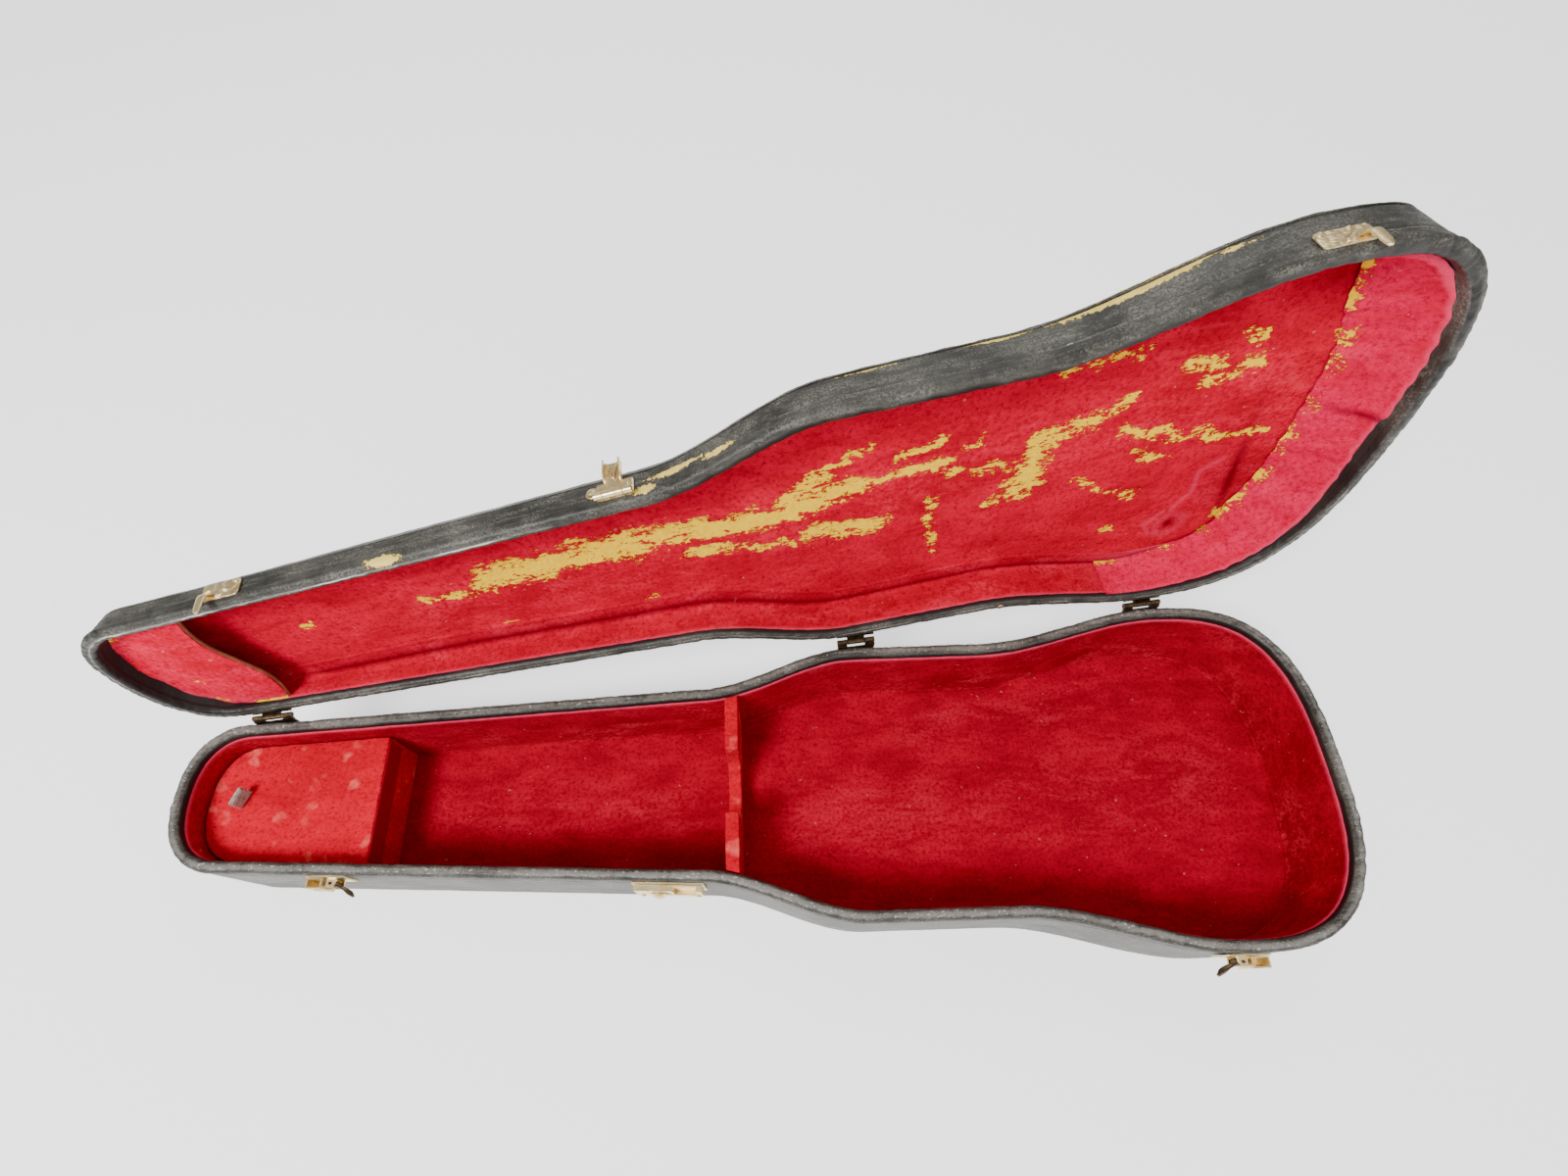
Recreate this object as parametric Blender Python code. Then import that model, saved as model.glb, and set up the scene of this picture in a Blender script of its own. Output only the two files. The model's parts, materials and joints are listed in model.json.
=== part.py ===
"""A shaped wooden violin case: leathercloth outside, red felt inside, lid hinged along the back.

Every piece is modelled where it sits when the case is shut. Carriers, which are empties on the joint
axes, then turn the moving pieces to the rest pose: lid open, hasp flipped up, latch levers swung out.
X runs from the neck end to the tail end, Y from the front (latches) to the back (hinges), Z up.
"""

import math

import bmesh
import bpy
from mathutils import Matrix, Vector

MM = 0.001

# Outline, as half widths at distances from the neck end.
CASE_LENGTH = 760 * MM
NECK_END_LENGTH = 42 * MM
NECK_HALF_WIDTH = 50 * MM
NECK_END_POWER = 2.3
SHOULDER_START = 345 * MM
SHOULDER_HALF_WIDTH = 65 * MM
SHOULDER_END = 450 * MM
BOUT_HALF_WIDTH = 92.5 * MM
HIP_START = 540 * MM
HIP_END = 668 * MM
TAIL_HALF_WIDTH = 116 * MM
TAIL_END_POWER = 2.8

# Heights and wall build-up.
BASE_DEPTH = 70 * MM
LID_DEPTH = 42 * MM
RIM_GAP = 1.2 * MM
SKIN = 0.9 * MM
GAP = 0.3 * MM
WOOD = 5 * MM
LINING = 1.5 * MM
WOOD_INSET = SKIN + GAP
WRAP_INSET = WOOD_INSET + WOOD + GAP
WRAP_DROP = 5.5 * MM
RIM_ROUND = 3 * MM
LID_WALL = 30 * MM
LID_CHAMFER = 11 * MM
LID_RIM = BASE_DEPTH + RIM_GAP
LID_TOP = LID_RIM + LID_DEPTH
FLOOR = SKIN + GAP + WOOD + GAP + LINING
INSIDE = WRAP_INSET + LINING + 2 * GAP

# Lid hinge: a straight axis along the back that clears the neck end, the shoulder and the hip.
OPEN_ANGLE = math.radians(97)
HINGE_CLEARANCE = 2.8 * MM
HINGE_STATIONS = (54 * MM, 454 * MM, 658 * MM)
HINGE_LENGTH = 26 * MM
LEAF_HEIGHT = 15 * MM
LEAF_THICKNESS = 1 * MM
KNUCKLE_RADIUS = 1.9 * MM
KNUCKLE_HALF = 6 * MM
PIN_RADIUS = 0.8 * MM
PIN_BORE = 1.05 * MM
RIVET_DEPTH = 0.9 * MM
RIVET_RISE = 0.9 * MM

# Fittings along the front wall, as distances from the neck end.
LEFT_LATCH = 110 * MM
RIGHT_LATCH = 668 * MM
LOCK_STATION = 336 * MM
LATCH_HALF = 12 * MM
LEVER_REST = math.radians(20)
HASP_REST = math.radians(-178)
HASP_KNUCKLE_OUT = 4.4 * MM
HASP_KNUCKLE_HEIGHT = 4.8 * MM

# Inside the base.
ACCESSORY_EDGE = 125 * MM
ACCESSORY_LID_TOP = 50 * MM
ACCESSORY_LID_THICKNESS = 4 * MM
PARTITION_START = 361.5 * MM
PARTITION_THICKNESS = 9 * MM
PARTITION_TOP = BASE_DEPTH - 3 * MM
NECK_NOTCH_HALF = 21 * MM
NECK_NOTCH_CENTRE = 47 * MM

# Lid fittings.
POCKET_EDGE = 77 * MM
POCKET_DEPTH = 5.5 * MM
EYELET_STATION = 648 * MM
TACK_STATION = 554 * MM
HANDLE_STATION = 395 * MM
HANDLE_PIVOT_HALF = 50 * MM
HANDLE_PIVOT_HEIGHT = 8 * MM
HANDLE_LEG = 32 * MM
HANDLE_ROD = 2 * MM

LEATHERCLOTH = ("leathercloth", (0.045, 0.043, 0.042), 0.6, 0.0)
WOOD_BOARD = ("poplar_wood", (0.62, 0.44, 0.22), 0.7, 0.0)
FELT = ("red_felt", (0.55, 0.01, 0.03), 0.95, 0.0)
CARDBOARD = ("brown_card", (0.30, 0.14, 0.05), 0.9, 0.0)
BRASS = ("worn_brass", (0.72, 0.60, 0.33), 0.35, 1.0)
STEEL = ("dark_steel", (0.12, 0.09, 0.07), 0.5, 1.0)
LEATHER = ("brown_leather", (0.12, 0.06, 0.03), 0.6, 0.0)

case = bpy.data.collections.new("violin_case")
cutters = bpy.data.collections.new("cutters")
shut_frames = {}


def start_scene():
    for old in list(bpy.data.objects):
        bpy.data.objects.remove(old)
    for collection in (case, cutters):
        bpy.context.scene.collection.children.link(collection)


def make_material(finish):
    name, colour, roughness, metallic = finish
    material = bpy.data.materials.new(name)
    material.use_nodes = True
    shader = material.node_tree.nodes["Principled BSDF"]
    shader.inputs["Base Color"].default_value = (*colour, 1.0)
    shader.inputs["Roughness"].default_value = roughness
    shader.inputs["Metallic"].default_value = metallic
    return material


# --- outline -----------------------------------------------------------------------------------


def ease(t):
    return t * t * (3 - 2 * t)


def end_half_width(distance, length, half_width, power):
    """Half width of a superellipse end, at a distance back from its widest place."""
    return half_width * (1 - (distance / length) ** power) ** (1 / power)


def half_width(station):
    """Outer half width at a distance from the neck end."""
    if station < NECK_END_LENGTH:
        return end_half_width(NECK_END_LENGTH - station, NECK_END_LENGTH, NECK_HALF_WIDTH, NECK_END_POWER)
    if station < SHOULDER_START:
        share = (station - NECK_END_LENGTH) / (SHOULDER_START - NECK_END_LENGTH)
        return NECK_HALF_WIDTH + (SHOULDER_HALF_WIDTH - NECK_HALF_WIDTH) * share
    if station < SHOULDER_END:
        share = ease((station - SHOULDER_START) / (SHOULDER_END - SHOULDER_START))
        return SHOULDER_HALF_WIDTH + (BOUT_HALF_WIDTH - SHOULDER_HALF_WIDTH) * share
    if station < HIP_START:
        return BOUT_HALF_WIDTH
    if station < HIP_END:
        share = ease((station - HIP_START) / (HIP_END - HIP_START))
        return BOUT_HALF_WIDTH + (TAIL_HALF_WIDTH - BOUT_HALF_WIDTH) * share
    return end_half_width(station - HIP_END, CASE_LENGTH - HIP_END, TAIL_HALF_WIDTH, TAIL_END_POWER)


def slope(station):
    step = 0.5 * MM
    return (half_width(station + step) - half_width(station - step)) / (2 * step)


def end_points(centre, length, width, power, turns):
    """Points of a superellipse end, given as turns from its tip (0) to its widest place (1)."""
    for turn in turns:
        angle = turn * math.pi / 2
        along = length * math.cos(angle) ** (2 / power)
        yield centre + along, width * math.sin(angle) ** (2 / power)


def side_points():
    """One side of the outline, from just after the neck tip to just before the tail tip."""
    neck = [n / 6 for n in range(1, 6)]
    for x, y in end_points(0, NECK_END_LENGTH, NECK_HALF_WIDTH, NECK_END_POWER, neck):
        yield NECK_END_LENGTH - x, y
    for start, end, count in (
        (NECK_END_LENGTH, SHOULDER_START, 2),
        (SHOULDER_START, SHOULDER_END, 6),
        (SHOULDER_END, HIP_START, 2),
        (HIP_START, HIP_END, 5),
    ):
        for n in range(count):
            station = start + (end - start) * n / count
            yield station, half_width(station)
    tail = [n / 8 for n in range(8, 0, -1)]
    yield from end_points(HIP_END, CASE_LENGTH - HIP_END, TAIL_HALF_WIDTH, TAIL_END_POWER, tail)


def outline():
    """The closed outline with its outward normals, counter-clockwise seen from above."""
    back = list(side_points())
    points = [(0.0, 0.0), *[(x, -y) for x, y in back], (CASE_LENGTH, 0.0), *reversed(back)]
    points = [Vector((x - CASE_LENGTH / 2, y)) for x, y in points]
    turned = []
    for before, here, after in zip([points[-1], *points], points, [*points[1:], points[0]]):
        first = (here - before).normalized()
        second = (after - here).normalized()
        along = (first + second).normalized()
        normal = Vector((along.y, -along.x))
        turned.append((here, normal / max(0.5, along.dot(second))))
    return turned


OUTLINE = outline()
SIDE = sorted(set(side_points()))


def built_half_width(station):
    """Half width of the outline's straight facets at a distance from the neck end."""
    for (x0, y0), (x1, y1) in zip(SIDE, SIDE[1:]):
        if x0 <= station <= x1:
            return y0 + (y1 - y0) * (station - x0) / (x1 - x0)
    return half_width(station)


def loop(inset, height):
    return [Vector((*(point - normal * inset), height)) for point, normal in OUTLINE]


def plan_width(station, inset):
    """Half width of the inset outline at a distance from the neck end."""
    return built_half_width(station) - inset * math.hypot(1, slope(station))


# --- building blocks ----------------------------------------------------------------------------


def loft(mesh, sections, ring):
    """Joins outline loops given as (inset, height). A ring closes on itself, a solid is capped."""
    rows = [[mesh.verts.new(point) for point in loop(inset, height)] for inset, height in sections]
    pairs = list(zip(rows, rows[1:]))
    if ring:
        pairs.append((rows[-1], rows[0]))
    else:
        mesh.faces.new(rows[0])
        mesh.faces.new(rows[-1])
    for low, high in pairs:
        for a, b, c, d in zip(low, low[1:] + low[:1], high[1:] + high[:1], high):
            mesh.faces.new((a, b, c, d))


def block(low, high):
    """A box between two corners."""
    low, high = Vector(low), Vector(high)
    place = Matrix.Translation((low + high) / 2) @ Matrix.Diagonal((*(high - low), 1))
    return lambda mesh: bmesh.ops.create_cube(mesh, size=1, matrix=place)


def rod(radius, start, end, sides=12, end_radius=None):
    """A cylinder, or a cone frustum, between two points."""
    start, end = Vector(start), Vector(end)
    turn = (end - start).to_track_quat("Z", "X").to_matrix().to_4x4()
    place = Matrix.Translation((start + end) / 2) @ turn
    far = radius if end_radius is None else end_radius

    def build(mesh):
        bmesh.ops.create_cone(
            mesh,
            cap_ends=True,
            segments=sides,
            radius1=radius,
            radius2=far,
            depth=(end - start).length,
            matrix=place,
        )

    return build


def slab(points, low, high):
    """A flat outline in X and Y, extruded from one height to another."""

    def build(mesh):
        face = mesh.faces.new([mesh.verts.new((x, y, low)) for x, y in points])
        grown = bmesh.ops.extrude_face_region(mesh, geom=[face])["geom"]
        risen = [v for v in grown if isinstance(v, bmesh.types.BMVert)]
        bmesh.ops.translate(mesh, verts=risen, vec=(0, 0, high - low))

    return build


def dome(radius, height, centre, towards):
    """A low round cap whose flat side faces away from the direction it rises in."""
    turn = Vector(towards).to_track_quat("Z", "X").to_matrix().to_4x4()
    place = Matrix.Translation(centre) @ turn

    def build(mesh):
        rings = [(0.0, 1.0), (0.45, 0.88), (0.8, 0.58)]
        sides = 12
        rows = []
        for rise, share in rings:
            angles = [2 * math.pi * n / sides for n in range(sides)]
            ring = [(radius * share * math.cos(a), radius * share * math.sin(a), rise * height) for a in angles]
            rows.append([mesh.verts.new(place @ Vector(p)) for p in ring])
        tip = mesh.verts.new(place @ Vector((0, 0, height)))
        mesh.faces.new(rows[0])
        for low, high in zip(rows, rows[1:]):
            for a, b, c, d in zip(low, low[1:] + low[:1], high[1:] + high[:1], high):
                mesh.faces.new((a, b, c, d))
        for a, b in zip(rows[-1], rows[-1][1:] + rows[-1][:1]):
            mesh.faces.new((a, b, tip))

    return build


def mesh_from(name, build):
    mesh = bmesh.new()
    build(mesh)
    bmesh.ops.recalc_face_normals(mesh, faces=mesh.faces)
    data = bpy.data.meshes.new(name)
    mesh.to_mesh(data)
    mesh.free()
    data.shade_smooth()
    data.set_sharp_from_angle(angle=math.radians(35))
    return data


def attach(thing, place, carrier):
    """Puts an object where it sits in the shut case, and lets its carrier take it to the rest pose."""
    if carrier is None:
        thing.matrix_local = place
        return
    thing.parent = carrier
    thing.matrix_local = shut_frames[carrier.name].inverted() @ place


def make_carrier(name, place, rest_turn, parent=None):
    """An empty on a joint's axis, which is its local X or Z."""
    empty = bpy.data.objects.new(name, None)
    case.objects.link(empty)
    empty.empty_display_size = 20 * MM
    attach(empty, place @ rest_turn, parent)
    shut_frames[name] = place.copy()
    return empty


def piece(name, finish, build, place=None, carrier=None, joined=(), cut=()):
    """One sub-part: a first shape, the shapes joined to it, then the shapes cut from it."""
    place = Matrix.Identity(4) if place is None else place
    thing = bpy.data.objects.new(name, mesh_from(name, build))
    case.objects.link(thing)
    thing.data.materials.append(make_material((f"{name}_{finish[0]}", *finish[1:])))
    attach(thing, place, carrier)
    steps = [("UNION", shape) for shape in joined] + [("DIFFERENCE", shape) for shape in cut]
    for number, (operation, shape) in enumerate(steps):
        tool = bpy.data.objects.new(f"{name}_tool_{number}", mesh_from(name, shape))
        cutters.objects.link(tool)
        tool.hide_render = True
        tool.display_type = "WIRE"
        attach(tool, place, carrier)
        boolean = thing.modifiers.new(f"{operation.lower()}_{number}", "BOOLEAN")
        boolean.operation = operation
        boolean.solver = "EXACT"
        boolean.object = tool
    return thing


def rivet(name, finish, spot, towards, head, place, carrier=None):
    """A domed head with a short shank that stands in the hole behind it."""
    spot, towards = Vector(spot), Vector(towards)
    under = spot + towards * GAP
    shank = rod(PIN_RADIUS, spot - towards * RIVET_DEPTH, under + towards * 0.3 * MM, sides=10)
    piece(name, finish, shank, place, carrier, joined=[dome(head, RIVET_RISE, under, towards)])


def rivet_hole(spot, towards):
    spot, towards = Vector(spot), Vector(towards)
    return rod(PIN_BORE, spot - towards * (RIVET_DEPTH + 2 * GAP), spot + towards * 1 * MM)


# --- frames along the walls ----------------------------------------------------------------------


def front_frame(station, before=0.0, after=0.0):
    """At the rim of the front wall: X along the wall, Y into the case, Z up. A fitting that reaches
    some way before and after the station is moved out until it touches the wall's proudest place."""
    turn = -math.atan(slope(station))
    spot = (station - CASE_LENGTH / 2, -half_width(station), BASE_DEPTH)
    frame = Matrix.Translation(spot) @ Matrix.Rotation(turn, 4, "Z")
    into = frame.inverted()
    steps = [station - before + (before + after) * n / 24 for n in range(25)]
    proud = min((into @ Vector((s - CASE_LENGTH / 2, -built_half_width(s), BASE_DEPTH))).y for s in steps)
    return frame @ Matrix.Translation((0, min(0.0, proud), 0))


HINGE_SLOPE = (half_width(HINGE_STATIONS[2]) - NECK_HALF_WIDTH) / (HINGE_STATIONS[2] - NECK_END_LENGTH)


def hinge_frame(station):
    """On the hinge axis: X along the axis, Y away from the case, Z up."""
    across = NECK_HALF_WIDTH + HINGE_CLEARANCE + HINGE_SLOPE * (station - NECK_END_LENGTH)
    spot = (station - CASE_LENGTH / 2, across, BASE_DEPTH + RIM_GAP / 2)
    return Matrix.Translation(spot) @ Matrix.Rotation(math.atan(HINGE_SLOPE), 4, "Z")


def wall_distance(station):
    """Shortest distance from the hinge axis to the back wall along one hinge leaf."""
    frame = hinge_frame(station).inverted()
    steps = [station + HINGE_LENGTH * (n / 12 - 0.5) for n in range(13)]
    spots = [Vector((s - CASE_LENGTH / 2, built_half_width(s), BASE_DEPTH)) for s in steps]
    return min(-(frame @ spot).y for spot in spots)


# --- shells ---------------------------------------------------------------------------------------


def side_covering(name, level, reach, carrier):
    """Leathercloth over one side wall, wrapped over the rim and a little way down inside."""
    outside = [(0, reach), (0, RIM_ROUND), (1 * MM, 0.9 * MM), (3.7 * MM, 0)]
    inside_rim = [(6.4 * MM, 0.9 * MM), (WRAP_INSET + SKIN, RIM_ROUND), (WRAP_INSET + SKIN, WRAP_DROP)]
    back_face = [
        (WRAP_INSET, WRAP_DROP),
        (WRAP_INSET, RIM_ROUND - 0.5 * MM),
        (WRAP_INSET - 1.4 * MM, 1.1 * MM),
        (WOOD_INSET + 1.1 * MM, 1.1 * MM),
        (SKIN, RIM_ROUND - 0.5 * MM),
        (SKIN, reach),
    ]
    sections = [(inset, level(depth)) for inset, depth in outside + inside_rim + back_face]
    return piece(name, LEATHERCLOTH, lambda mesh: loft(mesh, sections, ring=True), carrier=carrier)


def rib(name, level, reach, carrier):
    """The bent wooden side wall, its top edge eased under the covering."""
    outer, inner = WOOD_INSET, WOOD_INSET + WOOD
    ease_off = 1.2 * MM
    top = 1.4 * MM
    profile = [
        (outer, reach),
        (outer, top + ease_off),
        (outer + ease_off, top),
        (inner - ease_off, top),
        (inner, top + ease_off),
        (inner, reach),
    ]
    sections = [(inset, level(depth)) for inset, depth in profile]
    return piece(name, WOOD_BOARD, lambda mesh: loft(mesh, sections, ring=True), carrier=carrier)


def wall_lining(name, level, reach, carrier):
    outer, inner = WRAP_INSET, WRAP_INSET + LINING
    top = WRAP_DROP + 0.5 * MM
    profile = [(outer, reach), (outer, top), (inner, top), (inner, reach)]
    sections = [(inset, level(depth)) for inset, depth in profile]
    return piece(name, FELT, lambda mesh: loft(mesh, sections, ring=True), carrier=carrier)


def sheet(name, finish, inset, low, high, carrier=None):
    """A flat sheet or board with the case's outline."""
    sections = [(inset, low), (inset, high)]
    return piece(name, finish, lambda mesh: loft(mesh, sections, ring=False), carrier=carrier)


def make_base_shell():
    def level(depth):
        return BASE_DEPTH - depth

    board_top = SKIN + GAP + WOOD
    sheet("base_bottom_covering", LEATHERCLOTH, 0.5 * MM, 0, SKIN)
    sheet("base_bottom_board", WOOD_BOARD, WOOD_INSET, SKIN + GAP, board_top)
    sheet("base_floor_lining", FELT, WRAP_INSET, board_top + GAP, FLOOR)
    side_covering("base_side_covering", level, BASE_DEPTH - SKIN - GAP, None)
    rib("base_rib", level, BASE_DEPTH - board_top - GAP, None)
    wall_lining("base_wall_lining", level, BASE_DEPTH - FLOOR - GAP, None)


def lid_tray(low, foot, shoulder_inset, shoulder, top_inset, top, drop):
    """Sections of a shallow dish: its inner side first, then the edge, then its outer side."""
    inner = foot + drop
    return [
        (top_inset + drop * 0.45, top - drop),
        (inner, shoulder + drop * 0.3),
        (inner, low),
        (foot, low),
        (shoulder_inset, shoulder),
        (top_inset, top),
    ]


def make_lid_shell(lid):
    def level(depth):
        return LID_RIM + depth

    board_low = LID_WALL - GAP
    board_top = LID_DEPTH - SKIN - GAP
    board = lid_tray(
        board_low, WOOD_INSET, WOOD_INSET, LID_WALL + 0.5 * MM, WOOD_INSET + LID_CHAMFER - GAP, board_top, WOOD
    )
    board = [(inset, level(depth)) for inset, depth in board]
    piece("lid_top_board", WOOD_BOARD, lambda mesh: loft(mesh, board, ring=False), carrier=lid)
    skin_low = LID_WALL - 0.1 * MM
    corner = 0.38 * SKIN
    skin = lid_tray(
        skin_low, 0, 0, LID_WALL + 0.5 * MM + corner, LID_CHAMFER + 0.3 * MM - corner, LID_DEPTH, SKIN
    )
    skin[0] = (WOOD_INSET + LID_CHAMFER - GAP - 0.12 * MM, LID_DEPTH - SKIN)
    skin[1] = (SKIN, LID_WALL + 0.62 * MM)
    skin = [(inset, level(depth)) for inset, depth in skin]
    piece("lid_top_covering", LEATHERCLOTH, lambda mesh: loft(mesh, skin, ring=False), carrier=lid)
    side_covering("lid_side_covering", level, LID_WALL - 0.4 * MM, lid)
    rib("lid_rib", level, board_low - GAP, lid)
    lining_top = board_top - WOOD - GAP
    lining_inset = WOOD_INSET + LID_CHAMFER + WOOD * 0.45 + GAP
    sheet("lid_top_lining", FELT, lining_inset, level(lining_top - LINING), level(lining_top), lid)
    wall_lining("lid_wall_lining", level, LID_WALL - 0.4 * MM, lid)


# --- hinges ---------------------------------------------------------------------------------------


def hinge_leaf(name, station, side, knuckles, carrier):
    """One leaf: a plate on the wall, and knuckles on the axis carried by short webs."""
    outer = -wall_distance(station) + GAP
    near = side * (KNUCKLE_RADIUS + 0.4 * MM)
    far = side * LEAF_HEIGHT
    half = HINGE_LENGTH / 2
    low, high = min(near, far), max(near, far)
    shapes = []
    for start, end in knuckles:
        web_low, web_high = sorted((side * 0.8 * MM, near + side * 1 * MM))
        shapes.append(block((start, outer, web_low), (end, -0.9 * MM, web_high)))
        shapes.append(rod(KNUCKLE_RADIUS, (start, 0, 0), (end, 0, 0)))
    bore = rod(PIN_BORE, (-half - 1 * MM, 0, 0), (half + 1 * MM, 0, 0))
    plate = block((-half, outer, low), (half, outer + LEAF_THICKNESS, high))
    piece(name, BRASS, plate, hinge_frame(station), carrier, joined=shapes, cut=[bore])


def make_hinges(lid):
    half = HINGE_LENGTH / 2
    for name, station in zip(("neck", "shoulder", "hip"), HINGE_STATIONS):
        outer_pair = [(-half, -KNUCKLE_HALF - GAP), (KNUCKLE_HALF + GAP, half)]
        middle = [(-KNUCKLE_HALF, KNUCKLE_HALF)]
        hinge_leaf(f"{name}_hinge_base_leaf", station, -1, outer_pair, None)
        hinge_leaf(f"{name}_hinge_lid_leaf", station, 1, middle, lid)
        pin = rod(PIN_RADIUS, (-half, 0, 0), (half, 0, 0), sides=10)
        piece(f"{name}_hinge_pin", STEEL, pin, hinge_frame(station))


# --- latches and lock -----------------------------------------------------------------------------


def spanned(side, start, end, outward, height):
    """A box given by its run along the wall, mirrored by side, its outward reach and its heights."""
    run = sorted((side * start, side * end))
    return block(
        (run[0] * MM, -outward[1] * MM, height[0] * MM),
        (run[1] * MM, -outward[0] * MM, height[1] * MM),
    )


def make_latch(name, station, side, lid):
    """A side latch: plate with ears, slotted housing, lever on its pin, and the catch on the lid."""
    place = front_frame(station, LATCH_HALF, LATCH_HALF)
    pivot = Vector((side * 2.6 * MM, -4.4 * MM, 0))
    ears = [spanned(side, 0, 5.2, (1.2, 6.8), heights) for heights in ((-8.2, -7), (-18.6, -17.4))]
    hole = rod(PIN_BORE, pivot + Vector((0, 0, -25 * MM)), pivot + Vector((0, 0, 5 * MM)))
    plate = spanned(side, -12, 12, (0.3, 1.3), (-21, -3.4))
    piece(f"{name}_latch_plate", BRASS, plate, place, joined=ears, cut=[hole])

    shell = spanned(side, -11.2, -1.2, (1.6, 8.2), (-19.5, -4.4))
    pocket = spanned(side, -10.2, -2.2, (2.6, 7.2), (-16, 0))
    window = spanned(side, -8.8, -3.6, (6, 9), (-13, -8))
    piece(f"{name}_latch_housing", BRASS, shell, place, cut=[pocket, window])
    pin = rod(PIN_RADIUS, pivot + Vector((0, 0, -19.4 * MM)), pivot + Vector((0, 0, -6.2 * MM)), sides=10)
    piece(f"{name}_latch_pin", STEEL, pin, place)

    hub = place @ Matrix.Translation(pivot)
    lever = make_carrier(f"{name}_latch_axis", hub, Matrix.Rotation(-side * LEVER_REST, 4, "Z"))
    low, high = -17 * MM, -8.6 * MM
    reach = sorted((side * 0.8 * MM, side * 11.5 * MM))
    tip = sorted((side * 9 * MM, side * 13.2 * MM))
    piece(
        f"{name}_latch_lever",
        STEEL,
        rod(2.1 * MM, (0, 0, low), (0, 0, high)),
        hub,
        lever,
        joined=[
            block((reach[0], -0.8 * MM, low + 1 * MM), (reach[1], 0.8 * MM, high - 1 * MM)),
            block((tip[0], -2.2 * MM, low + 0.4 * MM), (tip[1], 0.4 * MM, high - 0.4 * MM)),
        ],
        cut=[rod(PIN_BORE, (0, 0, low - 1 * MM), (0, 0, high + 1 * MM))],
    )

    catch = spanned(side, -11.5, 11.5, (0.3, 1.3), (4.6, 16))
    root = spanned(side, -8.8, -3.6, (1, 5.6), (5.2, 7.4))
    tongue = spanned(side, -8.4, -4, (4.2, 5.5), (-5, 6.4))
    end = rod(2.2 * MM, (-side * 6.2 * MM, -5.5 * MM, -5 * MM), (-side * 6.2 * MM, -4.2 * MM, -5 * MM))
    ridge = rod(3.2 * MM, (side * 3 * MM, -1 * MM, 10.6 * MM), (side * 3 * MM, -2.8 * MM, 10.6 * MM), 12, 2 * MM)
    outward = (0, -1, 0)
    rivet_spot = (side * 9.2 * MM, -1.3 * MM, 13.6 * MM)
    shapes = [root, tongue, end, ridge]
    hole = rivet_hole(rivet_spot, outward)
    piece(f"{name}_catch_plate", BRASS, catch, place, lid, joined=shapes, cut=[hole])
    rivet(f"{name}_catch_rivet", BRASS, rivet_spot, outward, 1.5 * MM, place, lid)


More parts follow.
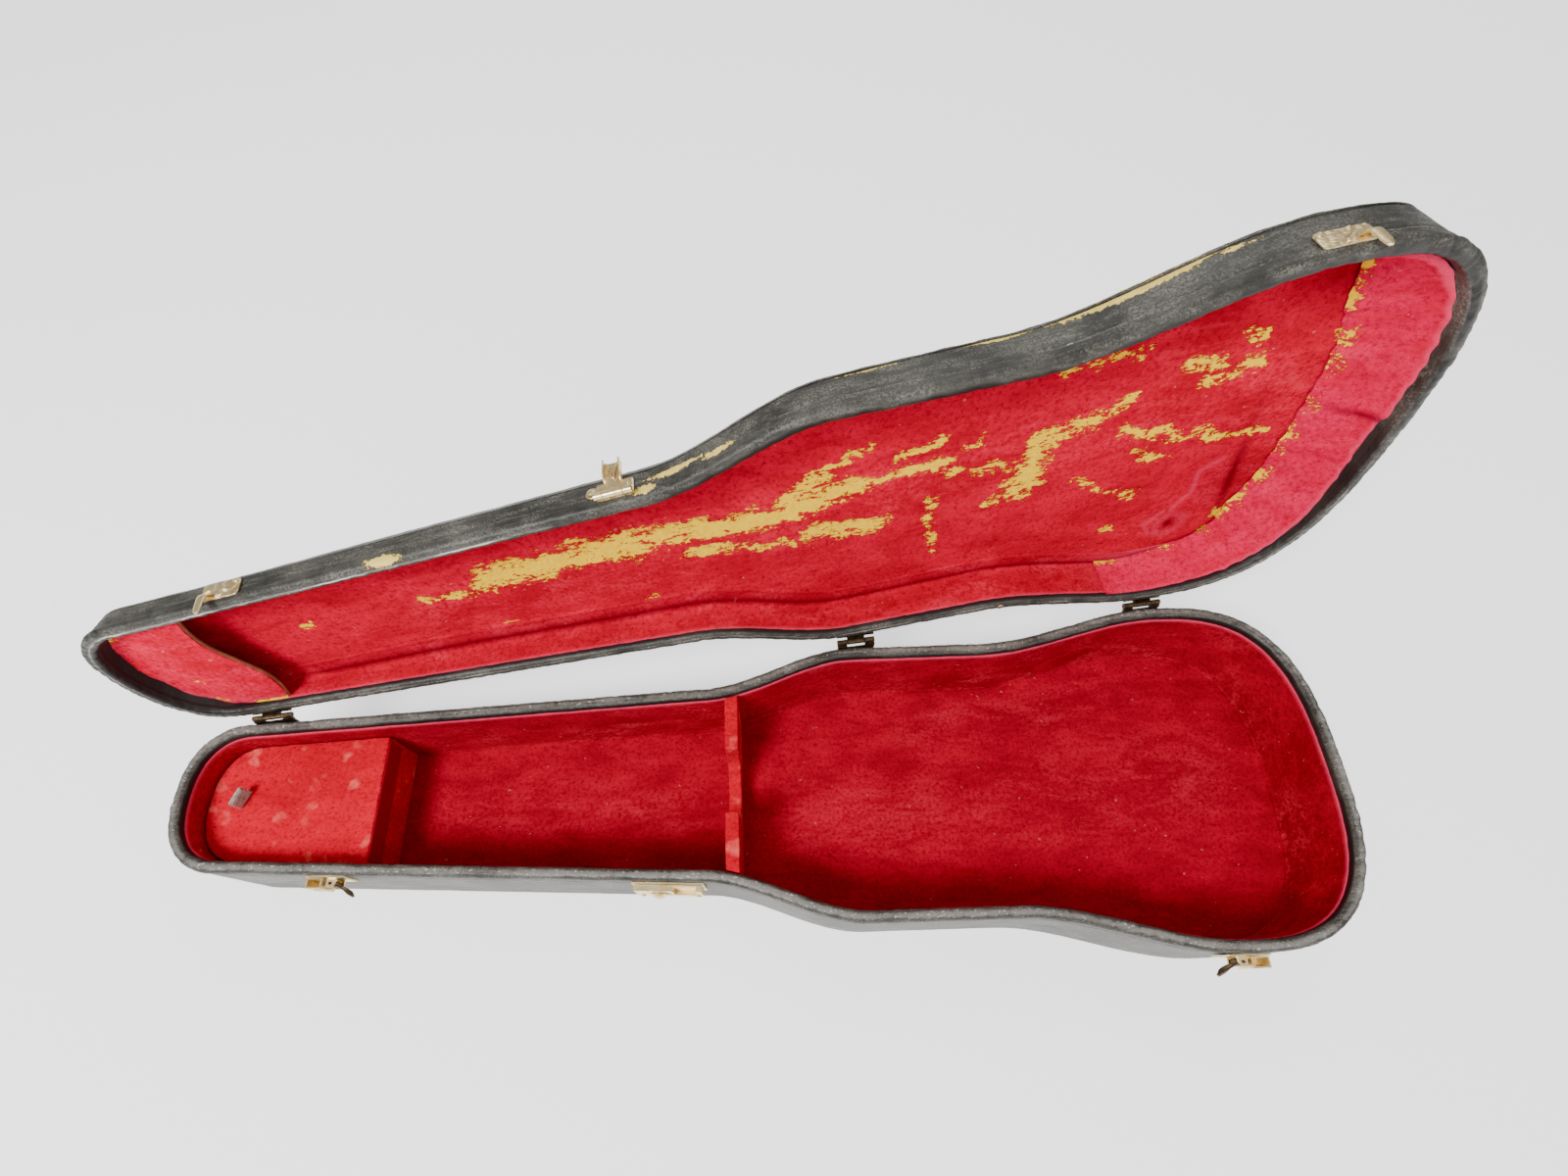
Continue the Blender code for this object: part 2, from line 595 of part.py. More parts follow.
def make_lock(lid):
    """The centre lock: box with a recess and a slot, sliding knob, and the hasp on the lid."""
    place = front_frame(LOCK_STATION, 34 * MM, 13 * MM)
    piece("lock_plate", BRASS, spanned(1, -33, 12, (0.3, 1.3), (-28, -3.4)), place)
    shell = spanned(1, -31.4, 10.6, (1.6, 5.6), (-26.4, -4.4))
    recess = spanned(1, -7.2, 7.2, (2.4, 9), (-19.5, 0))
    slot = spanned(1, -20, -8.8, (2.4, 9), (-17.2, -12.8))
    outward = (0, -1, 0)
    spots = [(across * MM, -5.6 * MM, -23.2 * MM) for across in (-28, 7.4)]
    holes = [rivet_hole(spot, outward) for spot in spots]
    piece("lock_box", BRASS, shell, place, cut=[recess, slot, *holes])
    for name, spot in zip(("left", "right"), spots):
        rivet(f"{name}_lock_rivet", BRASS, spot, outward, 1.8 * MM, place)

    knob_place = place @ Matrix.Translation((-16.5 * MM, 0, -15 * MM))
    knob = make_carrier("lock_knob_axis", knob_place, Matrix.Identity(4))
    stem = rod(1.8 * MM, (0, -2.8 * MM, 0), (0, -6.8 * MM, 0))
    cap = dome(5.4 * MM, 3 * MM, (0, -6 * MM, 0), (0, -1, 0))
    piece("lock_knob", BRASS, stem, knob_place, knob, joined=[cap])

    pin_spot = (0, -HASP_KNUCKLE_OUT, HASP_KNUCKLE_HEIGHT)
    barrel_place = place @ Matrix.Translation(pin_spot)
    half = 10 * MM
    inner = 5.2 * MM
    wall = HASP_KNUCKLE_OUT - GAP
    plate = block((-half, wall - 1 * MM, 0.6 * MM), (half, wall, 12 * MM))
    knuckles = []
    for start, end in ((-half, -inner - GAP), (inner + GAP, half)):
        knuckles.append(block((start, 0.6 * MM, 0.6 * MM), (end, wall - 0.2 * MM, 1.9 * MM)))
        knuckles.append(rod(KNUCKLE_RADIUS, (start, 0, 0), (end, 0, 0)))
    bore = rod(PIN_BORE, (-half - 1 * MM, 0, 0), (half + 1 * MM, 0, 0))
    boss = (-12.4 * MM, wall - 1 * MM, 7.2 * MM)
    ear = rod(3.4 * MM, boss, (boss[0], wall, boss[2]), 20)
    neck = block((boss[0], boss[1], boss[2] - 3 * MM), (-half + 0.5 * MM, wall, boss[2] + 3 * MM))
    shapes = [*knuckles, neck, ear]
    hole = rivet_hole(boss, outward)
    piece("hasp_plate", BRASS, plate, barrel_place, lid, joined=shapes, cut=[bore, hole])
    rivet("hasp_rivet", BRASS, boss, outward, 2.2 * MM, barrel_place, lid)
    piece("hasp_pin", STEEL, rod(PIN_RADIUS, (-half, 0, 0), (half, 0, 0), 10), barrel_place, lid)

    arm = make_carrier("hasp_axis", barrel_place, Matrix.Rotation(HASP_REST, 4, "X"), lid)
    front, back = -2.7 * MM, -1.5 * MM
    foot = -23.4 * MM
    shapes = [
        block((-inner, front, -3 * MM), (inner, -0.6 * MM, -0.9 * MM)),
        block((-8 * MM, front, -9.5 * MM), (8 * MM, back, -2.4 * MM)),
        block((-5 * MM, front, foot), (5 * MM, back, -8.5 * MM)),
    ]
    for edge in (-5 * MM, 3.8 * MM):
        shapes.append(block((edge, -2 * MM, foot), (edge + 1.2 * MM, 1.4 * MM, -11 * MM)))
    barrel = rod(KNUCKLE_RADIUS, (-inner, 0, 0), (inner, 0, 0))
    piece("lock_hasp", BRASS, barrel, barrel_place, arm, joined=shapes, cut=[bore])


# --- inside the base ------------------------------------------------------------------------------


def cross_board(start, thickness, low, high, inset):
    """A board across the case, its ends following the walls."""
    stations = (start, start + thickness)
    front = [(s - CASE_LENGTH / 2, -plan_width(s, inset)) for s in stations]
    back = [(s - CASE_LENGTH / 2, plan_width(s, inset)) for s in reversed(stations)]
    return slab(front + back, low, high)


def make_base_fittings():
    notch_place = PARTITION_START - CASE_LENGTH / 2
    ends = (notch_place - 5 * MM, notch_place + PARTITION_THICKNESS + 5 * MM)
    piece(
        "neck_partition",
        FELT,
        cross_board(PARTITION_START, PARTITION_THICKNESS, FLOOR + GAP, PARTITION_TOP, INSIDE),
        cut=[
            rod(NECK_NOTCH_HALF, (ends[0], 0, NECK_NOTCH_CENTRE), (ends[1], 0, NECK_NOTCH_CENTRE), 24),
            block(
                (ends[0], -NECK_NOTCH_HALF, NECK_NOTCH_CENTRE),
                (ends[1], NECK_NOTCH_HALF, PARTITION_TOP + 5 * MM),
            ),
        ],
    )
    board = 4 * MM
    board_top = ACCESSORY_LID_TOP - ACCESSORY_LID_THICKNESS - GAP
    piece(
        "accessory_partition",
        FELT,
        cross_board(ACCESSORY_EDGE - board, board, FLOOR + GAP, board_top, INSIDE),
    )
    tape_width = plan_width(ACCESSORY_EDGE, INSIDE) - 4 * MM
    edge = ACCESSORY_EDGE - CASE_LENGTH / 2
    piece(
        "accessory_hinge_tape",
        FELT,
        block(
            (edge + GAP, -tape_width, board_top - 12 * MM),
            (edge + GAP + 0.6 * MM, tape_width, ACCESSORY_LID_TOP - 0.6 * MM),
        ),
    )


def make_accessory_lid():
    """A lift-up board over the accessory box, hinged on its straight edge."""
    edge = ACCESSORY_EDGE - CASE_LENGTH / 2
    hub = Matrix.Translation((edge, 0, ACCESSORY_LID_TOP))
    carrier = make_carrier("accessory_lid_axis", hub, Matrix.Identity(4))
    inset = INSIDE + 0.6 * MM
    low = ACCESSORY_LID_TOP - ACCESSORY_LID_THICKNESS
    rounded = [(p.x, p.y) for p in loop(inset, 0) if p.x < NECK_END_LENGTH - CASE_LENGTH / 2 + 1 * MM]
    front = [p for p in rounded if p[1] < -1e-6]
    back = [p for p in rounded if p[1] > 1e-6]
    tip = [p for p in rounded if abs(p[1]) <= 1e-6]
    width = plan_width(ACCESSORY_EDGE, inset)
    points = [*tip, *front, (edge, -width), (edge, width), *back]
    piece("accessory_lid", FELT, slab(points, low, ACCESSORY_LID_TOP), carrier=carrier)
    tab = Matrix.Translation((34 * MM - CASE_LENGTH / 2, 2 * MM, ACCESSORY_LID_TOP + GAP))
    tab = tab @ Matrix.Rotation(math.radians(-20), 4, "Z")
    piece(
        "accessory_pull_tab",
        LEATHER,
        block((-1.2 * MM, -6 * MM, 0), (1.2 * MM, 6 * MM, 11 * MM)),
        tab,
        carrier,
    )


# --- lid fittings ---------------------------------------------------------------------------------


def make_pocket_board(lid):
    """The board over the bow-tip pocket at the neck end of the lid, with a wavy free edge."""
    inset = INSIDE
    edge = POCKET_EDGE - CASE_LENGTH / 2
    width = plan_width(POCKET_EDGE, inset) - 0.4 * MM
    curve = []
    for n in range(9):
        across = width * (2 * n / 8 - 1)
        wave = 5 * MM * math.sin(math.pi * across / width)
        curve.append((edge + wave, across))
    rounded = [(p.x, p.y) for p in loop(inset, 0) if p.x < NECK_END_LENGTH - CASE_LENGTH / 2 + 1 * MM]
    front = [p for p in rounded if p[1] < -1e-6]
    back = [p for p in rounded if p[1] > 1e-6]
    tip = [p for p in rounded if abs(p[1]) <= 1e-6]
    low = LID_RIM + POCKET_DEPTH
    piece("lid_pocket_board", CARDBOARD, slab([*tip, *front, *curve, *back], low, low + 2 * MM), carrier=lid)


def make_eyelet(lid):
    """A brass eyelet in the lid's front wall, where a bow ribbon was tied."""
    place = front_frame(EYELET_STATION) @ Matrix.Translation((0, INSIDE, RIM_GAP + 11 * MM))
    outer = rod(3.6 * MM, (0, 0, 0), (0, 1.2 * MM, 0), 16, 3 * MM)
    hole = rod(1.7 * MM, (0, -1 * MM, 0), (0, 3 * MM, 0))
    piece("bow_eyelet", BRASS, outer, place, lid, cut=[hole])


def make_tack(lid):
    """A small tack in the lid's rim on the hinge side."""
    spot = (TACK_STATION - CASE_LENGTH / 2, half_width(TACK_STATION) - 3.7 * MM, LID_RIM - 0.1 * MM)
    piece("rim_tack", BRASS, dome(2 * MM, 0.6 * MM, spot, (0, 0, -1)), carrier=lid)


def bend(corner, before, after, radius):
    """Three points that round a corner."""
    corner, before, after = Vector(corner), Vector(before), Vector(after)
    start = corner + (before - corner).normalized() * radius
    end = corner + (after - corner).normalized() * radius
    middle = (start + end + corner * 1.4) / 3.4
    return [start, middle, end]


def hang_turn(place):
    """How far the handle turns up from the lid top to hang straight down with the lid open."""
    axis = hinge_frame(0).to_3x3() @ Vector((1, 0, 0))
    down = Matrix.Rotation(OPEN_ANGLE, 3, axis) @ Vector((0, 0, -1))
    local = place.to_3x3().inverted() @ down
    return math.atan2(local.z, local.y)


def make_handle(lid):
    """A rod bail with a leather grip, swinging in two ears on the lid top."""
    place = Matrix.Translation((HANDLE_STATION - CASE_LENGTH / 2, 0, LID_TOP + GAP))
    height = HANDLE_PIVOT_HEIGHT
    for name, side in (("left", -1), ("right", 1)):
        centre = side * HANDLE_PIVOT_HALF
        ear = block((centre - 1.2 * MM, -4.5 * MM, 0.2 * MM), (centre + 1.2 * MM, 4.5 * MM, height))
        head = rod(4.5 * MM, (centre - 1.2 * MM, 0, height), (centre + 1.2 * MM, 0, height), 16)
        hole = rod(2.6 * MM, (centre - 5 * MM, 0, height), (centre + 5 * MM, 0, height), 16)
        plate = block((centre - 11 * MM, -9 * MM, 0), (centre + 11 * MM, 9 * MM, 1.2 * MM))
        upward = (0, 0, 1)
        spots = [(centre + end * 7 * MM, 0, 1.2 * MM) for end in (side, -side)]
        cuts = [hole, *(rivet_hole(spot, upward) for spot in spots)]
        piece(f"{name}_handle_bracket", STEEL, plate, place, lid, joined=[ear, head], cut=cuts)
        for end, spot in zip(("outer", "inner"), spots):
            rivet(f"{name}_handle_{end}_screw", STEEL, spot, upward, 2 * MM, place, lid)

    pivot = place @ Matrix.Translation((0, 0, height))
    swing = make_carrier("handle_axis", pivot, Matrix.Rotation(hang_turn(pivot), 4, "X"), lid)
    leg_at = HANDLE_PIVOT_HALF - 7 * MM
    far = HANDLE_PIVOT_HALF + 4 * MM
    corners = [
        (-far, 0, 0),
        (-leg_at, 0, 0),
        (-leg_at, HANDLE_LEG, 0),
        (leg_at, HANDLE_LEG, 0),
        (leg_at, 0, 0),
        (far, 0, 0),
    ]
    route = [Vector(corners[0])]
    for before, corner, after in zip(corners, corners[1:], corners[2:]):
        route += bend(corner, before, after, 4 * MM)
    route.append(Vector(corners[-1]))
    curve = bpy.data.curves.new("handle_bail", "CURVE")
    curve.dimensions = "3D"
    curve.bevel_depth = HANDLE_ROD
    curve.bevel_resolution = 2
    curve.use_fill_caps = True
    spline = curve.splines.new("POLY")
    spline.points.add(len(route) - 1)
    for point, spot in zip(spline.points, route):
        point.co = (*spot, 1)
    curve.materials.append(make_material(("handle_bail_dark_steel", *STEEL[1:])))
    bail = bpy.data.objects.new("handle_bail", curve)
    case.objects.link(bail)
    attach(bail, pivot, swing)

    grip_half = leg_at - 6 * MM
    grip = rod(6.5 * MM, (-grip_half, HANDLE_LEG, 0), (grip_half, HANDLE_LEG, 0), 14)
    bore = rod(HANDLE_ROD + 0.4 * MM, (-far, HANDLE_LEG, 0), (far, HANDLE_LEG, 0), 12)
    piece("handle_grip", LEATHER, grip, pivot, swing, cut=[bore])


def build_case():
    start_scene()
    lid_frame = hinge_frame(CASE_LENGTH / 2)
    lid = make_carrier("lid_axis", lid_frame, Matrix.Rotation(-OPEN_ANGLE, 4, "X"))
    make_base_shell()
    make_lid_shell(lid)
    make_hinges(lid)
    make_latch("left", LEFT_LATCH, 1, lid)
    make_latch("right", RIGHT_LATCH, -1, lid)
    make_lock(lid)
    make_base_fittings()
    make_accessory_lid()
    make_pocket_board(lid)
    make_eyelet(lid)
    make_tack(lid)
    make_handle(lid)


build_case()
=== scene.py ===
"""The looks of a shaped violin case: worn leathercloth, rubbed red felt, brass fittings, leather handle.

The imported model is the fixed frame. Lid pieces are modelled where they sit in the shut case and then
turned about the hinge to the open rest pose. Stations are distances from the neck end along the case.
"""

import json
import math

import bmesh
import bpy
import numpy as np
from mathutils import Matrix, Vector


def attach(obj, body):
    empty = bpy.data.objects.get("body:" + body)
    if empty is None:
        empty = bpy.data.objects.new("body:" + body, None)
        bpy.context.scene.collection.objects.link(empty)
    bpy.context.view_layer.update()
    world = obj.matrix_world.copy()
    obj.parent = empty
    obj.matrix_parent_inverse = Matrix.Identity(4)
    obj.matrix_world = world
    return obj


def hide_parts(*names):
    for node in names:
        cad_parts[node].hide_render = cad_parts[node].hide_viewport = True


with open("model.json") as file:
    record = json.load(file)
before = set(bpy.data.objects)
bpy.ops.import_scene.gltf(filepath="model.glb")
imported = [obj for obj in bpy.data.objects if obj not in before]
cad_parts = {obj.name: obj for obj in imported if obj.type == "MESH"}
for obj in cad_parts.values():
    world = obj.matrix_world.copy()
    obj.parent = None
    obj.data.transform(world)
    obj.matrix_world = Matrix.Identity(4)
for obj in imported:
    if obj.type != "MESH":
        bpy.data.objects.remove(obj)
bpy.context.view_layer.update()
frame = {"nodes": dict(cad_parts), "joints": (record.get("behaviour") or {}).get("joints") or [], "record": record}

MM = 0.001
CASE_LENGTH = 760 * MM
NECK_END_LENGTH = 42 * MM
NECK_HALF_WIDTH = 50 * MM
NECK_END_POWER = 2.3
SHOULDER_START = 345 * MM
SHOULDER_HALF_WIDTH = 65 * MM
SHOULDER_END = 450 * MM
BOUT_HALF_WIDTH = 92.5 * MM
HIP_START = 540 * MM
HIP_END = 668 * MM
TAIL_HALF_WIDTH = 116 * MM
TAIL_END_POWER = 2.8
SPINE_ENDS = (46 * MM, 690 * MM)
# The cloth's edge turns down inside the rim by WRAP_DROP, and at most by this much more.
LONGEST_TURN_IN = 14 * MM
# The seam that runs round under the rim's bead, as a run from the rim's crest.
SEAM_RUN = -11.5 * MM

BASE_DEPTH = 70 * MM
LID_RIM = 71.2 * MM
LID_DEPTH = 42 * MM
LID_WALL = 30 * MM
LID_CHAMFER = 11 * MM
LID_ENDS = (8 * MM, 668 * MM)
SKIN = 0.9 * MM
GAP = 0.3 * MM
WOOD = 5 * MM
WOOD_INSET = SKIN + GAP
WRAP_INSET = WOOD_INSET + WOOD + GAP
FELT_INSET = WRAP_INSET + 1.5 * MM
FELT_BACK = 6.75 * MM
WRAP_DROP = 5.5 * MM
FLOOR = 8 * MM
LID_FELT = 33.2 * MM

OUTLINE_STEP = 1.3 * MM

# Stations of the fittings, and how far latches and lock reach along the wall. A latch's side says
# which way its lever points along the case.
LATCHES = (("left", 110 * MM, 1), ("right", 668 * MM, -1))
LATCH_REACH = 12 * MM
LOCK_STATION = 336 * MM
LOCK_REACH = (34 * MM, 13 * MM)
HINGES = (("neck", 54 * MM), ("shoulder", 454 * MM), ("hip", 658 * MM))
EYELET_STATION = 648 * MM
POCKET_STATION = 74 * MM
PULL_TAB_STATION = 34 * MM
# Rest angles in degrees: a lever stands out from flat, and the hasp is flipped up from hanging down.
LEVER_TURNED_OUT = 20
HASP_TURN = 178


# --- the outline --------------------------------------------------------------------------------


def ease(t):
    t = np.clip(t, 0, 1)
    return t * t * (3 - 2 * t)


def half_width(station):
    """Outer half width between the two ends, at distances from the neck end."""
    straight = NECK_HALF_WIDTH + (SHOULDER_HALF_WIDTH - NECK_HALF_WIDTH) * np.clip(
        (station - NECK_END_LENGTH) / (SHOULDER_START - NECK_END_LENGTH), 0, 1
    )
    shoulder = ease((station - SHOULDER_START) / (SHOULDER_END - SHOULDER_START))
    hip = ease((station - HIP_START) / (HIP_END - HIP_START))
    return (
        straight
        + (BOUT_HALF_WIDTH - SHOULDER_HALF_WIDTH) * shoulder
        + (TAIL_HALF_WIDTH - BOUT_HALF_WIDTH) * hip
    )


def end_curve(length, width, power):
    """A superellipse end as distances along and across, from its tip to its widest place."""
    turn = np.linspace(0, math.pi / 2, 400)
    return length * np.cos(turn) ** (2 / power), width * np.sin(turn) ** (2 / power)


def side_curve():
    """One side from the neck tip to the tail tip, at even steps, as stations and half widths."""
    neck_x, neck_y = end_curve(NECK_END_LENGTH, NECK_HALF_WIDTH, NECK_END_POWER)
    tail_x, tail_y = end_curve(CASE_LENGTH - HIP_END, TAIL_HALF_WIDTH, TAIL_END_POWER)
    middle = np.arange(NECK_END_LENGTH + MM, HIP_END, MM)
    x = np.concatenate([NECK_END_LENGTH - neck_x, middle, (HIP_END + tail_x)[::-1]])
    y = np.concatenate([neck_y, half_width(middle), tail_y[::-1]])
    run = np.concatenate([[0], np.cumsum(np.hypot(np.diff(x), np.diff(y)))])
    steps = np.linspace(0, run[-1], int(run[-1] / OUTLINE_STEP))
    return np.interp(steps, run, x), np.interp(steps, run, y)


def closed_outline():
    """Points and outward normals round the case, counter-clockwise from above, from the neck tip."""
    x, y = side_curve()
    y[0] = y[-1] = 0
    xs = np.concatenate([x, x[-2:0:-1]]) - CASE_LENGTH / 2
    ys = np.concatenate([-y, y[-2:0:-1]])
    points = np.stack([xs, ys], 1)
    along = np.roll(points, -1, 0) - np.roll(points, 1, 0)
    along /= np.linalg.norm(along, axis=1)[:, None]
    return points, np.stack([along[:, 1], -along[:, 0]], 1)


EDGE, NORMAL = closed_outline()
COUNT = len(EDGE)
STATION = EDGE[:, 0] + CASE_LENGTH / 2
STEPS = np.linalg.norm(np.roll(EDGE, -1, 0) - EDGE, axis=1)
RUN = np.concatenate([[0], np.cumsum(STEPS)[:-1]])
PERIMETER = STEPS.sum()
FRONT = EDGE[:, 1] < 0


def ends_share(neck_from, tail_from):
    """How much a point belongs to the neck end and to the tail end, changing softly over 60 mm."""
    change = 60 * MM
    return 1 - ease((STATION - neck_from) / change), ease((STATION - tail_from) / change)


# --- smooth numbers -------------------------------------------------------------------------------


def waves(points, size, count=9, seed=0):
    """A smooth random field from -1 to 1, shaped as the points, with features about size across."""
    own = np.random.default_rng(seed)
    width = points.shape[-1]
    flat = points.reshape(-1, width)
    total = np.zeros(len(flat))
    for _ in range(count):
        direction = own.normal(size=width)
        direction /= np.linalg.norm(direction)
        pitch = size * own.uniform(0.6, 1.7)
        total += np.sin(flat @ direction * 2 * math.pi / pitch + own.uniform(0, 2 * math.pi))
    return (total / count**0.5 * 0.9).reshape(points.shape[:-1])


def paired(x, y):
    return np.stack([x, y], -1)


def line_waves(run, size, seed):
    """A smooth random field that changes only along a run."""
    return waves(paired(run, run * 0), size, seed=seed)


def hump(value, centre, width):
    return np.exp(-(((value - centre) / width) ** 2))


def stroke_field(x, y, strokes):
    """How close points are to given strokes: 1 on a stroke's line and 0 beyond its width."""
    field = np.zeros(x.shape)
    for width, strength, *spots in strokes:
        for (x0, y0), (x1, y1) in zip(spots, spots[1:]):
            dx, dy = (x1 - x0) * MM, (y1 - y0) * MM
            px, py = x - x0 * MM, y - y0 * MM
            share = np.clip((px * dx + py * dy) / max(dx * dx + dy * dy, 1e-9), 0, 1)
            away = np.hypot(px - share * dx, py - share * dy) / (width * MM)
            field = np.maximum(field, strength * np.clip(1.05 - away, 0, 1) ** 0.85)
    return field


# --- making meshes -------------------------------------------------------------------------------


def turn_about(spot, axis, degrees):
    move = Matrix.Translation(spot)
    return move @ Matrix.Rotation(math.radians(degrees), 4, Vector(axis)) @ move.inverted()


def joint(name):
    return next(j for j in frame["joints"] if j["name"] == name)


hinge = joint("lid_hinge")
LID_TURN = turn_about(hinge["pos_m"], hinge["axis"], -hinge["range_deg"][1])
STILL = Matrix.Identity(4)


def grid_faces(rows, columns, close_rows, close_columns, first=0):
    """Quads of a grid of points, as four index columns."""
    down = np.arange(rows if close_rows else rows - 1)
    over = np.arange(columns if close_columns else columns - 1)
    row, column = np.meshgrid(down, over, indexing="ij")
    next_row, next_column = (row + 1) % rows, (column + 1) % columns
    corners = [
        row * columns + column,
        row * columns + next_column,
        next_row * columns + next_column,
        next_row * columns + column,
    ]
    return first + np.stack([c.ravel() for c in corners], 1)


def make_mesh(name, points, faces, fields=None, weld=False):
    """A smooth mesh from points and faces. Fields are numbers per point that materials read."""
    points = points.reshape(-1, 3)
    data = bpy.data.meshes.new(name)
    data.from_pydata(points.tolist(), [], [list(map(int, f)) for f in faces])
    for field, values in {"place": points, **(fields or {})}.items():
        kind, key = ("FLOAT_VECTOR", "vector") if field == "place" else ("FLOAT", "value")
        attribute = data.attributes.new(field, kind, "POINT")
        attribute.data.foreach_set(key, np.asarray(values, np.float32).ravel())
    mesh = bmesh.new()
    mesh.from_mesh(data)
    if weld:
        bmesh.ops.remove_doubles(mesh, verts=mesh.verts, dist=1e-6)
    bmesh.ops.recalc_face_normals(mesh, faces=mesh.faces)
    mesh.to_mesh(data)
    mesh.free()
    data.shade_smooth()
    return data


def add_piece(name, data, body, material, nodes=(), turn=STILL, sharp=40):
    """Puts a mesh in the scene, in the rest pose, riding on its body."""
    data.transform(turn)
    data.set_sharp_from_angle(angle=math.radians(sharp))
    data.materials.clear()
    data.materials.append(material)
    piece = bpy.data.objects.new(name, data)
    bpy.context.scene.collection.objects.link(piece)
    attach(piece, body)
    if nodes:
        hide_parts(*nodes)
    return piece


# --- shader nodes ---------------------------------------------------------------------------------


SOCKETS = {
    "roughness": "Roughness",
    "metallic": "Metallic",
    "specular": "Specular IOR Level",
    "sheen": "Sheen Weight",
    "sheen_roughness": "Sheen Roughness",
}


class Shader:
    """Adds and links nodes for one procedural material."""

    def __init__(self, name, **fixed):
        self.material = bpy.data.materials.new(name)
        self.material.use_nodes = True
        self.tree = self.material.node_tree
        self.surface = self.tree.nodes["Principled BSDF"]
        for socket, value in fixed.items():
            self.surface.inputs[SOCKETS[socket]].default_value = value

    def link(self, value, socket):
        if isinstance(value, bpy.types.NodeSocket):
            self.tree.links.new(value, socket)
        elif isinstance(value, tuple) and len(value) == 3 and socket.type == "RGBA":
            socket.default_value = (*value, 1)
        else:
            socket.default_value = value

    def node(self, kind, inputs, **settings):
        made = self.tree.nodes.new(kind)
        for key, value in settings.items():
            setattr(made, key, value)
        for key, value in inputs.items():
            self.link(value, made.inputs[key])
        return made

    def object_place(self):
        return self.node("ShaderNodeTexCoord", {}).outputs["Object"]

    def made_place(self):
        """Where each point was modelled, before its piece was turned to the rest pose."""
        return self.node("ShaderNodeAttribute", {}, attribute_name="place").outputs["Vector"]

    def field(self, name):
        return self.node("ShaderNodeAttribute", {}, attribute_name=name).outputs["Fac"]

    def stretched(self, vector, stretch):
        return self.node("ShaderNodeVectorMath", {0: vector, 1: stretch}, operation="MULTIPLY").outputs[0]

    def noise(self, vector, size, detail=3.0, roughness=0.55, distortion=0.0):
        """Noise with features about size across."""
        inputs = {
            "Vector": vector,
            "Scale": 1 / size,
            "Detail": detail,
            "Roughness": roughness,
            "Distortion": distortion,
        }
        return self.node("ShaderNodeTexNoise", inputs).outputs["Fac"]

    def cells(self, vector, size, feature):
        inputs = {"Vector": vector, "Scale": 1 / size}
        return self.node("ShaderNodeTexVoronoi", inputs, feature=feature).outputs["Distance"]

    def span(self, value, low, high, to_low=0.0, to_high=1.0):
        inputs = {"Value": value, "From Min": low, "From Max": high, "To Min": to_low, "To Max": to_high}
        return self.node("ShaderNodeMapRange", inputs).outputs["Result"]

    def math(self, operation, a, b):
        return self.node("ShaderNodeMath", {0: a, 1: b}, operation=operation).outputs[0]

    def times(self, a, b):
        return self.math("MULTIPLY", a, b)

    def plus(self, a, b):
        return self.math("ADD", a, b)

    def minus(self, a, b):
        return self.math("SUBTRACT", a, b)

    def mix(self, share, a, b):
        made = self.tree.nodes.new("ShaderNodeMix")
        made.data_type = "RGBA"
        self.link(share, made.inputs[0])
        self.link(a, made.inputs[6])
        self.link(b, made.inputs[7])
        return made.outputs[2]

    def bump(self, height, distance, strength):
        inputs = {"Height": height, "Distance": distance, "Strength": strength}
        return self.node("ShaderNodeBump", inputs).outputs["Normal"]

    def finish(self, colour, roughness=None, normal=None, metallic=None):
        for value, key in (
            (colour, "Base Color"),
            (roughness, "Roughness"),
            (normal, "Normal"),
            (metallic, "Metallic"),
        ):
            if value is not None:
                self.link(value, self.surface.inputs[key])
        return self.material


